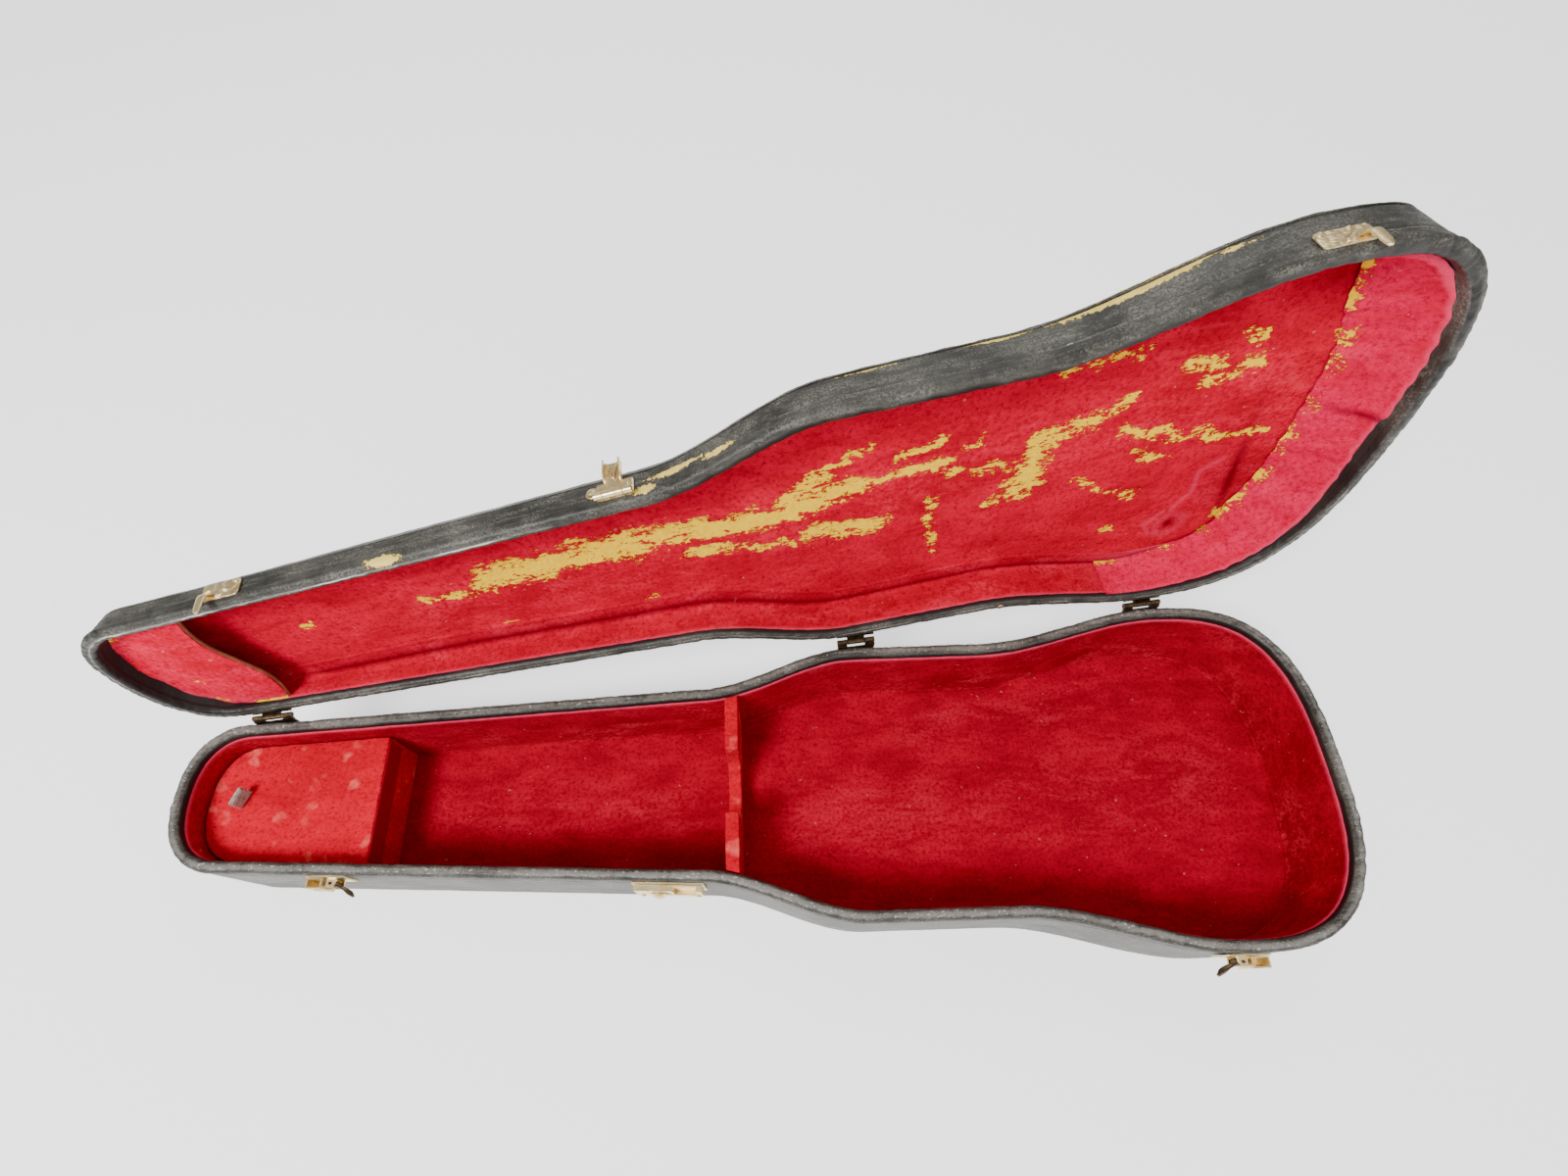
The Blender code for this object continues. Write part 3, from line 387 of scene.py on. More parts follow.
def leathercloth():
    """Black pebbled cloth, scuffed grey where it is rubbed, worn through to pale wood in places. Its raised grain
    is lightened by dust and painted sheen, and its worn field also brings painted shade and painted highlights.
    """
    s = Shader("leathercloth", specular=0.32)
    place = s.made_place()
    # The worn field: rubbing above 0, painted shade below 0, and painted highlight lines near 2.
    worn, bare = s.field("worn"), s.field("bare")
    pebble = s.cells(place, 0.9 * MM, "SMOOTH_F1")
    fine = s.noise(place, 0.4 * MM, 4)
    blotch = s.noise(place, 30 * MM, 5, 0.62)
    streak = s.noise(s.stretched(place, (0.14, 1.0, 1.0)), 3.0 * MM, 5, 0.72)
    grain = s.plus(s.times(pebble, 0.8), s.times(fine, 0.35))
    dark = s.mix(s.span(blotch, 0.35, 0.68), (0.024, 0.0225, 0.018), (0.066, 0.063, 0.052))
    raised = s.span(pebble, 0.58, 0.22)
    # Dust and painted sheen: the raised tops of the pebbles are lightened, and less so where the worn field paints
    # shade.
    dust_and_sheen = s.times(raised, s.span(s.plus(streak, s.times(blotch, 0.4)), 0.6, 0.9))
    dust_and_sheen = s.times(dust_and_sheen, s.span(worn, -0.35, 0.0))
    cloth = s.mix(s.times(dust_and_sheen, 0.75), dark, (0.24, 0.225, 0.195))
    # Painted shade: the cloth darkens towards black where the worn field is below 0.
    cloth = s.mix(s.span(worn, -0.12, -0.5), cloth, (0.010, 0.0085, 0.0075))
    rub_noise = s.plus(s.times(streak, 0.6), s.times(fine, 0.5))
    rubbed = s.span(s.plus(worn, s.times(rub_noise, 1.1)), 0.92, 1.4)
    cloth = s.mix(s.times(rubbed, 0.7), cloth, (0.25, 0.235, 0.21))
    # Silver: flecks that are partly rubbed cloth and partly painted glints, and painted highlight lines where the
    # worn field passes 1.75.
    fleck = s.span(s.noise(s.stretched(place, (0.6, 1.0, 1.0)), 1.3 * MM, 4, 0.6), 0.60, 0.68)
    fleck = s.times(fleck, s.span(worn, 0.25, 0.6))
    silver = s.math("MAXIMUM", s.times(fleck, 0.75), s.span(s.plus(worn, fine), 1.75, 2.0))
    cloth = s.mix(silver, cloth, (0.74, 0.72, 0.67))
    ragged = s.plus(s.noise(place, 5 * MM, 6, 0.7), s.noise(place, 1.4 * MM, 3, 0.6))
    edge = s.plus(bare, s.times(s.minus(ragged, 1.0), 1.2))
    opened = s.times(s.span(edge, 0.5, 0.56), s.span(bare, 0.02, 0.1))
    fringe = s.times(s.span(edge, 0.38, 0.5), s.span(bare, 0.02, 0.1))
    wood_grain = s.noise(s.stretched(place, (0.12, 1.0, 1.0)), 1.3 * MM, 4, 0.6)
    wood = s.mix(s.span(wood_grain, 0.3, 0.7), (0.92, 0.74, 0.20), (0.70, 0.47, 0.09))
    colour = s.mix(fringe, cloth, (0.13, 0.095, 0.045))
    colour = s.mix(opened, colour, wood)
    rough = s.mix(rubbed, (0.46, 0.46, 0.46), (0.36, 0.36, 0.36))
    rough = s.mix(opened, rough, (0.75, 0.75, 0.75))
    height = s.minus(s.times(grain, -1.0), s.times(opened, 2.5))
    return s.finish(colour, rough, s.bump(height, 0.2 * MM, 0.9))


FELT_FIELDS = ("bare", "thin", "edge", "dark")


def felt(name, low, high, on_board=False):
    """Rubbed wool felt. Its fields say where it is worn to the yellow backing, thin, or edged pink, and where
    painted shade darkens it.
    """
    s = Shader(name, specular=0.03, sheen=0.015, sheen_roughness=0.5)
    s.surface.inputs["Sheen Tint"].default_value = (1.0, 0.12, 0.18, 1)
    place = s.object_place() if on_board else s.made_place()
    bare, thin, edge, dark = (s.field(key) for key in FELT_FIELDS)
    fibre = s.noise(s.stretched(place, (0.3, 1.0, 1.0)), 0.6 * MM, 4, 0.7, 0.5)
    tuft = s.noise(place, 2.6 * MM, 5, 0.68)
    pile = s.noise(s.stretched(place, (0.35, 1.0, 1.0)), 13 * MM, 5, 0.65, 0.6)
    blotch = s.noise(place, 48 * MM, 4, 0.6)
    cloud = s.plus(s.times(pile, 0.6), s.times(blotch, 0.4))
    red = s.mix(s.span(cloud, 0.38, 0.62), low, high)
    shade = s.plus(s.times(fibre, 0.5), s.times(tuft, 0.7))
    red = s.mix(s.span(shade, 0.62, 0.42, 0.0, 0.8), red, tuple(c * 0.45 for c in low))
    rubbed = s.times(thin, s.span(s.plus(pile, tuft), 0.98, 1.3))
    red = s.mix(s.times(rubbed, 0.4), red, (0.80, 0.075, 0.12))
    lint = s.span(s.noise(place, 4.5 * MM, 2, 0.4), 0.74, 0.76)
    red = s.mix(s.times(lint, s.span(fibre, 0.45, 0.6, 0.05, 0.4)), red, (0.80, 0.42, 0.32))
    red = s.mix(s.times(edge, s.span(fibre, 0.25, 0.6, 0.5, 1.0)), red, (0.80, 0.05, 0.13))
    # Painted shade: the dark field darkens the felt.
    red = s.mix(s.times(dark, 0.85), red, tuple(c * 0.16 for c in low))
    if on_board:
        pale = s.span(s.noise(place, 17 * MM, 2, 0.5), 0.60, 0.70, 0.0, 0.8)
        red = s.mix(s.times(pale, s.span(tuft, 0.3, 0.6, 0.4, 1.0)), red, (0.86, 0.13, 0.11))
    dragged = s.noise(s.stretched(place, (0.28, 1.0, 1.0)), 5.5 * MM, 7, 0.72, 0.5)
    specks = s.noise(s.stretched(place, (0.6, 1.0, 1.0)), 1.7 * MM, 4, 0.65)
    opened = s.plus(bare, s.times(s.minus(dragged, 0.5), 4.2))
    opened = s.plus(opened, s.times(s.minus(specks, 0.5), 3.0))
    opened = s.times(s.span(opened, 0.52, 0.60), s.span(bare, 0.02, 0.12))
    backing = s.mix(s.span(tuft, 0.35, 0.7), (0.92, 0.50, 0.004), (1.0, 0.70, 0.035))
    backing = s.mix(s.span(fibre, 0.62, 0.7), backing, (0.62, 0.16, 0.05))
    colour = s.mix(opened, red, backing)
    height = s.minus(shade, s.times(opened, 1.1))
    return s.finish(colour, s.span(tuft, 0.2, 0.8, 0.86, 0.97), s.bump(height, 0.5 * MM, 0.9))


def brass(name, tarnish):
    """Pale worn brass with scratches, brown tarnish and rust spots."""
    s = Shader(name, metallic=1.0)
    place = s.object_place()
    patch = s.noise(place, 9 * MM, 5, 0.65)
    spot = s.noise(place, 2.4 * MM, 4, 0.6)
    scratch = s.noise(s.stretched(place, (0.08, 1.0, 0.5)), 0.5 * MM, 3, 0.6)
    bright = s.mix(s.span(scratch, 0.3, 0.7), (0.88, 0.67, 0.32), (0.98, 0.85, 0.52))
    aged = s.mix(s.span(patch, 0.40, 0.72), bright, (0.66, 0.47, 0.22))
    rust = s.span(s.plus(s.times(patch, 0.7), s.times(spot, 0.5)), 0.66, 0.78)
    rust = s.times(rust, tarnish)
    colour = s.mix(rust, aged, (0.23, 0.095, 0.035))
    rough = s.span(s.plus(scratch, patch), 0.6, 1.3, 0.24, 0.48)
    rough = s.plus(rough, s.times(rust, 0.35))
    height = s.plus(s.times(spot, 0.6), s.times(scratch, 0.4))
    return s.finish(colour, rough, s.bump(height, 0.12 * MM, 0.7), s.span(rust, 0.2, 1.0, 1.0, 0.35))


def steel():
    """Oxidised brown-black steel, brighter where it is rubbed."""
    s = Shader("dark_steel")
    place = s.object_place()
    patch = s.noise(place, 6 * MM, 5, 0.65)
    pit = s.noise(place, 0.9 * MM, 4, 0.7)
    colour = s.mix(s.span(patch, 0.35, 0.65), (0.055, 0.034, 0.022), (0.145, 0.085, 0.048))
    colour = s.mix(s.span(pit, 0.60, 0.74), colour, (0.34, 0.27, 0.20))
    rough = s.span(pit, 0.3, 0.7, 0.38, 0.62)
    return s.finish(colour, rough, s.bump(pit, 0.15 * MM, 0.8), s.span(patch, 0.3, 0.8, 0.9, 0.55))


def aged_brass():
    """Brass gone dull brown, in patches, with darker specks."""
    s = Shader("aged_brass", metallic=1.0)
    place = s.object_place()
    patch = s.noise(place, 5 * MM, 5, 0.65)
    fine = s.noise(place, 0.8 * MM, 4, 0.7)
    colour = s.mix(s.span(patch, 0.35, 0.68), (0.045, 0.028, 0.017), (0.15, 0.095, 0.050))
    colour = s.mix(s.span(fine, 0.6, 0.75), colour, (0.055, 0.03, 0.015))
    rough = s.span(patch, 0.3, 0.7, 0.36, 0.58)
    return s.finish(colour, rough, s.bump(fine, 0.1 * MM, 0.7))


def thread():
    s = Shader("waxed_thread", sheen=0.2)
    twist = s.noise(s.object_place(), 0.4 * MM, 2)
    colour = s.mix(s.span(twist, 0.3, 0.7), (0.42, 0.33, 0.20), (0.62, 0.52, 0.36))
    return s.finish(colour, 0.75, s.bump(twist, 0.1 * MM, 0.8))


def wood():
    s = Shader("poplar")
    place = s.object_place()
    rings = s.noise(s.stretched(place, (0.07, 1.0, 1.0)), 2.2 * MM, 5, 0.6, 0.8)
    pores = s.noise(s.stretched(place, (0.1, 1.0, 1.0)), 0.4 * MM, 3, 0.6)
    colour = s.mix(s.span(rings, 0.3, 0.7), (0.60, 0.42, 0.20), (0.78, 0.60, 0.33))
    colour = s.mix(s.span(pores, 0.6, 0.75), colour, (0.36, 0.22, 0.10))
    return s.finish(colour, s.span(rings, 0.2, 0.8, 0.55, 0.75), s.bump(pores, 0.1 * MM, 0.7))


def card():
    s = Shader("brown_card")
    place = s.object_place()
    fibre = s.noise(s.stretched(place, (1.0, 1.0, 6.0)), 1.6 * MM, 5, 0.7)
    blotch = s.noise(place, 12 * MM, 3)
    colour = s.mix(s.span(fibre, 0.3, 0.7), (0.17, 0.055, 0.02), (0.32, 0.12, 0.045))
    colour = s.mix(s.span(blotch, 0.5, 0.8), colour, (0.42, 0.19, 0.075))
    return s.finish(colour, 0.85, s.bump(fibre, 0.2 * MM, 0.8))


def leather(name, low, high, worn):
    """Oiled handle leather with fine creases and rubbed high spots."""
    s = Shader(name, specular=0.5)
    place = s.object_place()
    crease = s.cells(place, 1.5 * MM, "DISTANCE_TO_EDGE")
    patch = s.noise(place, 9 * MM, 5, 0.65)
    fine = s.noise(place, 0.5 * MM, 3)
    colour = s.mix(s.span(patch, 0.35, 0.7), low, high)
    colour = s.mix(s.span(crease, 0.08, 0.0), colour, tuple(c * 0.4 for c in low))
    colour = s.mix(s.times(s.span(patch, 0.55, 0.75), s.span(fine, 0.4, 0.6)), colour, worn)
    height = s.plus(s.span(crease, 0.0, 0.12), s.times(fine, 0.4))
    return s.finish(colour, s.span(patch, 0.3, 0.8, 0.5, 0.34), s.bump(height, 0.18 * MM, 0.8))


def ribbon():
    s = Shader("grey_ribbon", sheen=0.25)
    place = s.object_place()
    ribs = s.noise(s.stretched(place, (0.2, 0.2, 1.0)), 0.5 * MM, 2)
    stain = s.noise(place, 5 * MM, 4, 0.65)
    colour = s.mix(s.span(stain, 0.35, 0.65), (0.23, 0.19, 0.155), (0.46, 0.42, 0.37))
    colour = s.mix(s.span(ribs, 0.55, 0.7), colour, (0.58, 0.54, 0.48))
    return s.finish(colour, 0.8, s.bump(ribs, 0.25 * MM, 0.8))


CLOTH = leathercloth()
LID_RED = felt("red_felt_lid", (0.44, 0.0002, 0.016), (0.70, 0.0006, 0.036))
# A darker copy of the lid's felt for the base: painted shade inside the base.
SHADED_BASE_RED = felt("red_felt_base_shaded", (0.30, 0.0002, 0.012), (0.48, 0.0004, 0.022))
BRIGHT_RED = felt("red_felt_pocket", (0.56, 0.0004, 0.022), (0.80, 0.003, 0.055))
PINK_RED = felt("red_felt_end_strip", (0.60, 0.0003, 0.040), (0.76, 0.001, 0.075))
BOARD_RED = felt("red_felt_boards", (0.50, 0.0004, 0.014), (0.74, 0.003, 0.028), on_board=True)
BRASS = brass("worn_brass", 0.5)
STEEL = steel()
POPLAR = wood()
CARD = card()
GOLD_BRASS = brass("gold_brass", 0.25)
AGED_BRASS = aged_brass()
THREAD = thread()
GRIP_LEATHER = leather("brown_leather", (0.055, 0.026, 0.013), (0.13, 0.065, 0.032), (0.30, 0.19, 0.11))
RIBBON = ribbon()


# --- shells ---------------------------------------------------------------------------------------


def ring_points(insets, heights):
    """Rows of points round the case: each row has an inset and a height, which may vary round it."""
    insets = np.broadcast_to(insets, (len(insets), COUNT))
    heights = np.broadcast_to(heights, (len(heights), COUNT))
    flat = EDGE[None] - NORMAL[None] * insets[..., None]
    return np.concatenate([flat, heights[..., None]], 2)


def spine_rows(inset, shares):
    """Rows that shrink from the inset outline (share 0) to a line along the case's middle (1)."""
    rim = EDGE - NORMAL * np.broadcast_to(inset, COUNT)[:, None]
    low, high = (s - CASE_LENGTH / 2 for s in SPINE_ENDS)
    spine = np.stack([np.clip(rim[:, 0], low, high), np.zeros(COUNT)], 1)
    return np.stack([rim + (spine - rim) * share for share in shares])


def creases(run, across, seed, spacing, depth):
    """Narrow wrinkles that cross a rim. Spacing and depth are given round the outline."""
    own = np.random.default_rng(seed)
    total = np.zeros_like(run)
    at = 0.0
    while at < PERIMETER:
        here = int(np.interp(at, RUN, np.arange(COUNT)))
        at += spacing[here] * own.uniform(0.5, 1.5)
        width = own.uniform(0.9, 1.9) * MM
        slant = own.uniform(-0.55, 0.55)
        start, end = own.uniform(-8, -3) * MM, own.uniform(2, 9) * MM
        deep = depth[here] * own.uniform(0.4, 1.3)
        near = np.abs(run - at) < 9 * MM
        away = run[near] - at - slant * across[near]
        window = ease((across[near] - start) / (2 * MM)) * ease((end - across[near]) / (2 * MM))
        total[near] -= deep * np.exp(-((away / width) ** 2)) * window
    return total


def rim_profile(reach, drop):
    """Wall, rolled rim and turned-in edge as rows of (inset, depth below the rim)."""
    wall = [(0.0, d) for d in np.linspace(reach, 12 * MM, max(3, int(reach / (2.6 * MM))))]
    wall += [(0.0, d) for d in np.linspace(11.4 * MM, 5.2 * MM, 12)]
    turns = np.linspace(0, math.pi, 22)
    bead = [
        (
            (3.7 - 4.05 * math.copysign(abs(math.cos(t)) ** 0.8, math.cos(t))) * MM,
            (4.4 - 4.3 * abs(math.sin(t)) ** 0.8) * MM,
        )
        for t in turns
    ]
    inside = [(WRAP_INSET + SKIN, d) for d in np.linspace(5.0 * MM, drop, 9)]
    return wall + bead + inside


class Half:
    """The base or the lid: its body, and how its pieces' insets and depths below its rim take shape."""

    def __init__(self, body, level, shape, turn):
        self.body = body
        self.level = level
        self.shape = shape
        self.turn = turn

    def points(self, insets, downs):
        insets, downs = self.shape(insets, downs)
        return ring_points(insets, self.level(downs))

    def add(self, name, points, faces, slot, material, nodes, fields=None, weld=False, sharp=40):
        data = make_mesh(name, points, faces, fields, weld)
        return add_piece(name, data, self.body, material, nodes, self.turn, sharp)


def round_case(rows):
    """Rows of (inset, depth) as two arrays with a column for each point of the outline."""
    return [np.array([np.zeros(COUNT) + row[n] for row in rows]) for n in (0, 1)]


def path_tangents(path):
    """Unit directions along a path of (inset, depth), and the distance run along it."""
    tangent = np.gradient(path, axis=0)
    tangent /= np.linalg.norm(tangent, axis=1)[:, None]
    return tangent, np.concatenate([[0], np.cumsum(np.linalg.norm(np.diff(path, axis=0), axis=1))])


def rim_wear_and_shade(run, across, height, patches, silver):
    """How rubbed the cloth is: on the bead, along the seam below it and on wrinkles' crests. It also paints shade
    on the turned-in cloth, on the hinge side's wall and in the wrinkles' hollows, and adds the painted highlights
    that silver gives.
    """
    wear = 0.28 * hump(across, 0, 2.3 * MM) + 0.5 * hump(across, -10.9 * MM, 0.7 * MM)
    # A little more rubbed below the seam; painted shade on the turned-in cloth past 3.6 mm inside the crest.
    wear = wear + 0.16 * (across < SEAM_RUN) - 0.45 * ease((across - 3.6 * MM) / (2 * MM))
    # Painted shade on the hinge side's wall below the bead, away from the neck end.
    shaded_hinge_side = ~FRONT[None] * ease((STATION - 60 * MM) / (60 * MM))
    wear = wear - 0.30 * shaded_hinge_side * hump(across, -6 * MM, 8 * MM)
    # Patches of wear, and painted shade in the wrinkles' hollows.
    wear = wear + 0.12 * patches - 0.25 * np.clip(-height / (0.5 * MM), 0, 1)
    return wear + silver(run, across)


def rim_cloth(name, half, reach, drop, seed, nodes, spacing, depth, marks, silver):
    """Leathercloth over a side wall and its rim, with a wrinkled bead and its edge turned inside."""
    short = np.array(rim_profile(reach, WRAP_DROP))
    long = np.array(rim_profile(reach, WRAP_DROP + LONGEST_TURN_IN))
    share = ((drop - WRAP_DROP) / LONGEST_TURN_IN)[None]
    inset = short[:, :1] * (1 - share) + long[:, :1] * share
    down = short[:, 1:] * (1 - share) + long[:, 1:] * share
    tangent, across = path_tangents(short)
    crest = int(np.argmin(short[:, 1]))
    across = (across - across[crest])[:, None] + np.zeros((1, COUNT))
    run = RUN[None] + np.zeros_like(across)
    place = ring_points(inset, half.level(down))
    height = creases(run, across, seed, spacing, depth)
    height += 0.16 * MM * waves(place, 13 * MM, seed=seed)
    height += 0.08 * MM * waves(place, 4.5 * MM, seed=seed + 1)
    groove = hump(across, -11.8 * MM, 0.55 * MM) * 0.75 * MM
    lip = hump(across, -10.8 * MM, 0.6 * MM) * 0.2 * MM
    height = height - groove + lip
    height *= 0.35 + 0.65 * hump(across, 0, 12 * MM)
    inset = inset + height * tangent[:, 1:]
    down = down - height * tangent[:, :1]
    inset = inset + (short[:, 1] > reach - 1.5 * MM)[:, None] * 0.5 * MM
    back = [(WRAP_INSET, drop), (WRAP_INSET, 4.6 * MM), (5.1 * MM, 1.9 * MM), (2.3 * MM, 1.9 * MM)]
    back_inset, back_down = round_case(back + [(SKIN, 4.6 * MM), (SKIN, reach)])
    points = half.points(np.concatenate([inset, back_inset]), np.concatenate([down, back_down]))
    hidden = np.zeros_like(back_inset)
    # Rubbing, painted shade and painted highlights, all carried by the worn field.
    wear = rim_wear_and_shade(run, across, height, waves(place, 60 * MM, seed=seed + 3), silver)
    fields = {
        "worn": np.clip(np.concatenate([wear, hidden]), -1, 2),
        "bare": np.concatenate([marks(across), hidden]),
    }
    faces = grid_faces(len(points), COUNT, True, True)
    return half.add(name, points, faces, "leathercloth", CLOTH, nodes, fields, sharp=60)


def spine_cap(inset, down, steps, level, fall):
    """Rows from an outline in to the middle line, at a depth that may change along the case."""
    rows = spine_rows(inset, steps)
    depth = fall(down, rows[..., 0] + CASE_LENGTH / 2) if fall else np.full(rows.shape[:2], down)
    return list(np.concatenate([rows, level(depth)[..., None]], 2))


def board(name, half, outer_rows, fall, nodes):
    """A closed board or tray: rows of (inset, depth) from its inner face, round its edge, to its outer."""
    steps = np.linspace(0, 1, 7)[1:]
    inset, depth = half.shape(*round_case(outer_rows))
    under = spine_cap(inset[0], outer_rows[0][1], steps, half.level, fall)[::-1]
    over = spine_cap(inset[-1], outer_rows[-1][1], steps, half.level, fall)
    rows = np.stack(under + list(ring_points(inset, half.level(depth))) + over)
    return half.add(name, rows, grid_faces(len(rows), COUNT, False, True), "wood", POPLAR, nodes, weld=True)


def rib_board(name, half, reach, nodes):
    """A bent wooden wall, its top edge eased on both sides, under the cloth."""
    top, round_off = 1.9 * MM, 1.4 * MM
    inner = WOOD_INSET + WOOD
    rows = [(WOOD_INSET, reach), (WOOD_INSET, top + 2.4 * MM), (WOOD_INSET + round_off, top)]
    rows += [(inner - round_off, top), (inner, top + 2.4 * MM), (inner, reach)]
    points = half.points(*round_case(rows))
    return half.add(name, points, grid_faces(len(rows), COUNT, True, True), "wood", POPLAR, nodes)


def base_level(down):
    return BASE_DEPTH - down


def lid_level(down):
    return LID_RIM + down


# How deep the lid's outer ridge and its inner panel lie, in mm, at stations in mm.
RIDGE_DEPTHS = (
    (130, 15.2), (220, 17.0), (300, 18.5), (400, 20.0),
    (470, 24.6), (560, 26.8), (640, 28.6), (760, 28.6),
)
PANEL_DEPTHS = ((60, 21.0), (200, 26.6), (330, 28.4), (470, 30.2), (600, 33.2), (760, 33.4))
# How much lower the lid's top is at the neck end, how deep its wall keeps to the rim's own depths,
# and how far its ends lean in for each unit of depth.
TOP_FALL = 5 * MM
PLAIN_DEPTH = 13 * MM
END_LEAN = 0.5


def eased_depth(station, depths):
    """A soft curve through depths at stations, both in mm."""
    spots, values = np.array(depths).T * MM
    around = np.linspace(-24 * MM, 24 * MM, 9)
    return np.mean([np.interp(station + step, spots, values) for step in around], axis=0)


def ridge_depth(station):
    return eased_depth(station, RIDGE_DEPTHS)


def panel_depth(station):
    return eased_depth(station, PANEL_DEPTHS)


def top_depth(station):
    return LID_DEPTH - TOP_FALL * ease((325 * MM - station) / (270 * MM))


def lid_depth(down, station):
    """The lid is shallower towards the neck: depths below its rim are squeezed there."""
    ridge, panel, top = ridge_depth(station), panel_depth(station), top_depth(station)
    wall = np.clip((down - PLAIN_DEPTH) / (LID_WALL - PLAIN_DEPTH), 0, 1)
    foot = np.clip((down - LID_WALL) / (LID_FELT - LID_WALL), 0, 1)
    roof = np.maximum(down - LID_FELT, 0) / (LID_DEPTH - LID_FELT)
    return (
        np.minimum(down, PLAIN_DEPTH)
        + wall * (ridge - PLAIN_DEPTH)
        + foot * (panel - ridge)
        + roof * (top - panel)
    )


def lid_shape(inset, down):
    """Insets and depths of the tapered lid, whose ends lean in and whose chamfer widens to the neck."""
    down = lid_depth(down, STATION)
    lean = 1 - ease((STATION - 6 * MM) / (38 * MM)) + ease((STATION - 706 * MM) / (40 * MM))
    ridge = ridge_depth(STATION)
    chamfer = top_depth(STATION) - ridge
    wide = np.maximum(0.875 * chamfer - 10.5 * MM, 0)
    past = np.clip((down - ridge) / chamfer, 0, 1)
    return inset + END_LEAN * lean * np.maximum(down - 3 * MM, 0) + wide * past, down


def plain_shape(inset, down):
    """The base is as deep all along as at its rim, so its rows stay as they are."""
    return inset, down


BASE = Half("base", base_level, plain_shape, STILL)
LID = Half("lid", lid_level, lid_shape, LID_TURN)


def base_rim_rub_and_sheen(run, across):
    """Rubbed flecks and painted sheen along the crest of the base's rim."""
    return 0.58 * hump(across, 0.5 * MM, 2.6 * MM)


def lid_rim_highlights_and_darkening(run, across):
    """How the lid's rim is lit and darkened: painted highlights as bright lines along its front towards the neck
    and along its hinge side, a darker bead along the front past the lock, painted light on the turned-in cloth at
    the tail end, and a darker neck end.
    """
    uneven = 0.75 + 0.35 * line_waves(run, 35 * MM, 14)
    past_neck = (STATION - 330 * MM) / (80 * MM)
    # Painted highlight: a thin bright line on the front's bead towards the neck; past the lock the bead is darker
    # instead.
    front = FRONT[None] * hump(across, 1.2 * MM, 0.45 * MM) * 2.0 * ease(-past_neck)[None]
    front = front - FRONT[None] * 0.7 * hump(across, 1.5 * MM, 2.4 * MM) * ease(past_neck)[None]
    # Painted highlights: two bright lines along the hinge side's rim.
    back = ~FRONT[None] * (hump(across, 1.6 * MM, 0.5 * MM) + hump(across, -2.4 * MM, 0.5 * MM)) * 1.1
    # Painted light: the turned-in cloth round the tail end, less towards the hinge side, is lightened.
    tail = ease((STATION - 715 * MM) / (30 * MM)) * ease((30 * MM - EDGE[:, 1]) / (60 * MM))
    inside = tail[None] * ease((across - 2 * MM) / (3 * MM))
    # Darker towards the neck end on the wall below the bead, and darker still all over the neck tip except its
    # front corner.
    neck = 1 - ease((STATION - 40 * MM) / (190 * MM))
    tip = (1 - ease((STATION - 34 * MM) / (40 * MM))) * ease((EDGE[:, 1] + 46 * MM) / (16 * MM))
    neck_darkening = 0.24 * neck[None] * (1 - ease((across + 4 * MM) / (2 * MM))) + 0.6 * tip[None]
    return (front + back) * uneven + 0.62 * inside * uneven - neck_darkening


def worn_spot(station, length, side):
    """1 at a station in mm on one side of the case, falling to 0 at length mm from it."""
    return np.clip(1 - np.abs(STATION - station * MM) / (length * MM), 0, 1) * side


def lid_wall_marks(across):
    """Where the lid's wall is worn through: station, side, length, height, run from the rim, strength."""
    marks = np.zeros_like(across)
    ridge = across.min() / MM
    spots = (
        (206, FRONT, 15, 6, -3.6, 1.5), (351, FRONT, 10, 5.5, -7.5, 1.5),
        (368, FRONT, 26, 4.5, -14.5, 1.4), (392, FRONT, 16, 4, -11, 1.3),
        (470, FRONT, 26, 2.2, ridge + 2, 1.1), (531, FRONT, 24, 4.5, ridge, 1.6),
        (592, FRONT, 50, 7.5, ridge, 1.9), (632, FRONT, 16, 3, ridge + 3, 1.2),
        (742, ~FRONT, 18, 6, ridge, 1.3),
    )
    for station, side, length, height, centre, strength in spots:
        near = np.clip(1 - np.abs(across - centre * MM) / (height * MM), 0, 1)
        marks = np.maximum(marks, worn_spot(station, length, side)[None] * near * strength)
    return marks


def make_base_shell():
    ends = np.maximum(*ends_share(20 * MM, 680 * MM))
    rim_cloth(
        "base_side_leathercloth", BASE, BASE_DEPTH - 1.2 * MM, WRAP_DROP + 1.2 * MM * ends, 11,
        ["base_side_covering"], 6.5 * MM - 2 * MM * ends, (0.26 + 0.08 * ends) * MM,
        np.zeros_like, base_rim_rub_and_sheen,
    )
    rib_board("base_bent_rib", BASE, BASE_DEPTH - FLOOR + 1 * MM, ["base_rib"])
    bottom = [(WOOD_INSET, BASE_DEPTH - WOOD_INSET - WOOD), (WOOD_INSET, BASE_DEPTH - WOOD_INSET)]
    board("base_bottom_wood", BASE, bottom, None, ["base_bottom_board"])
    underside_cloth()


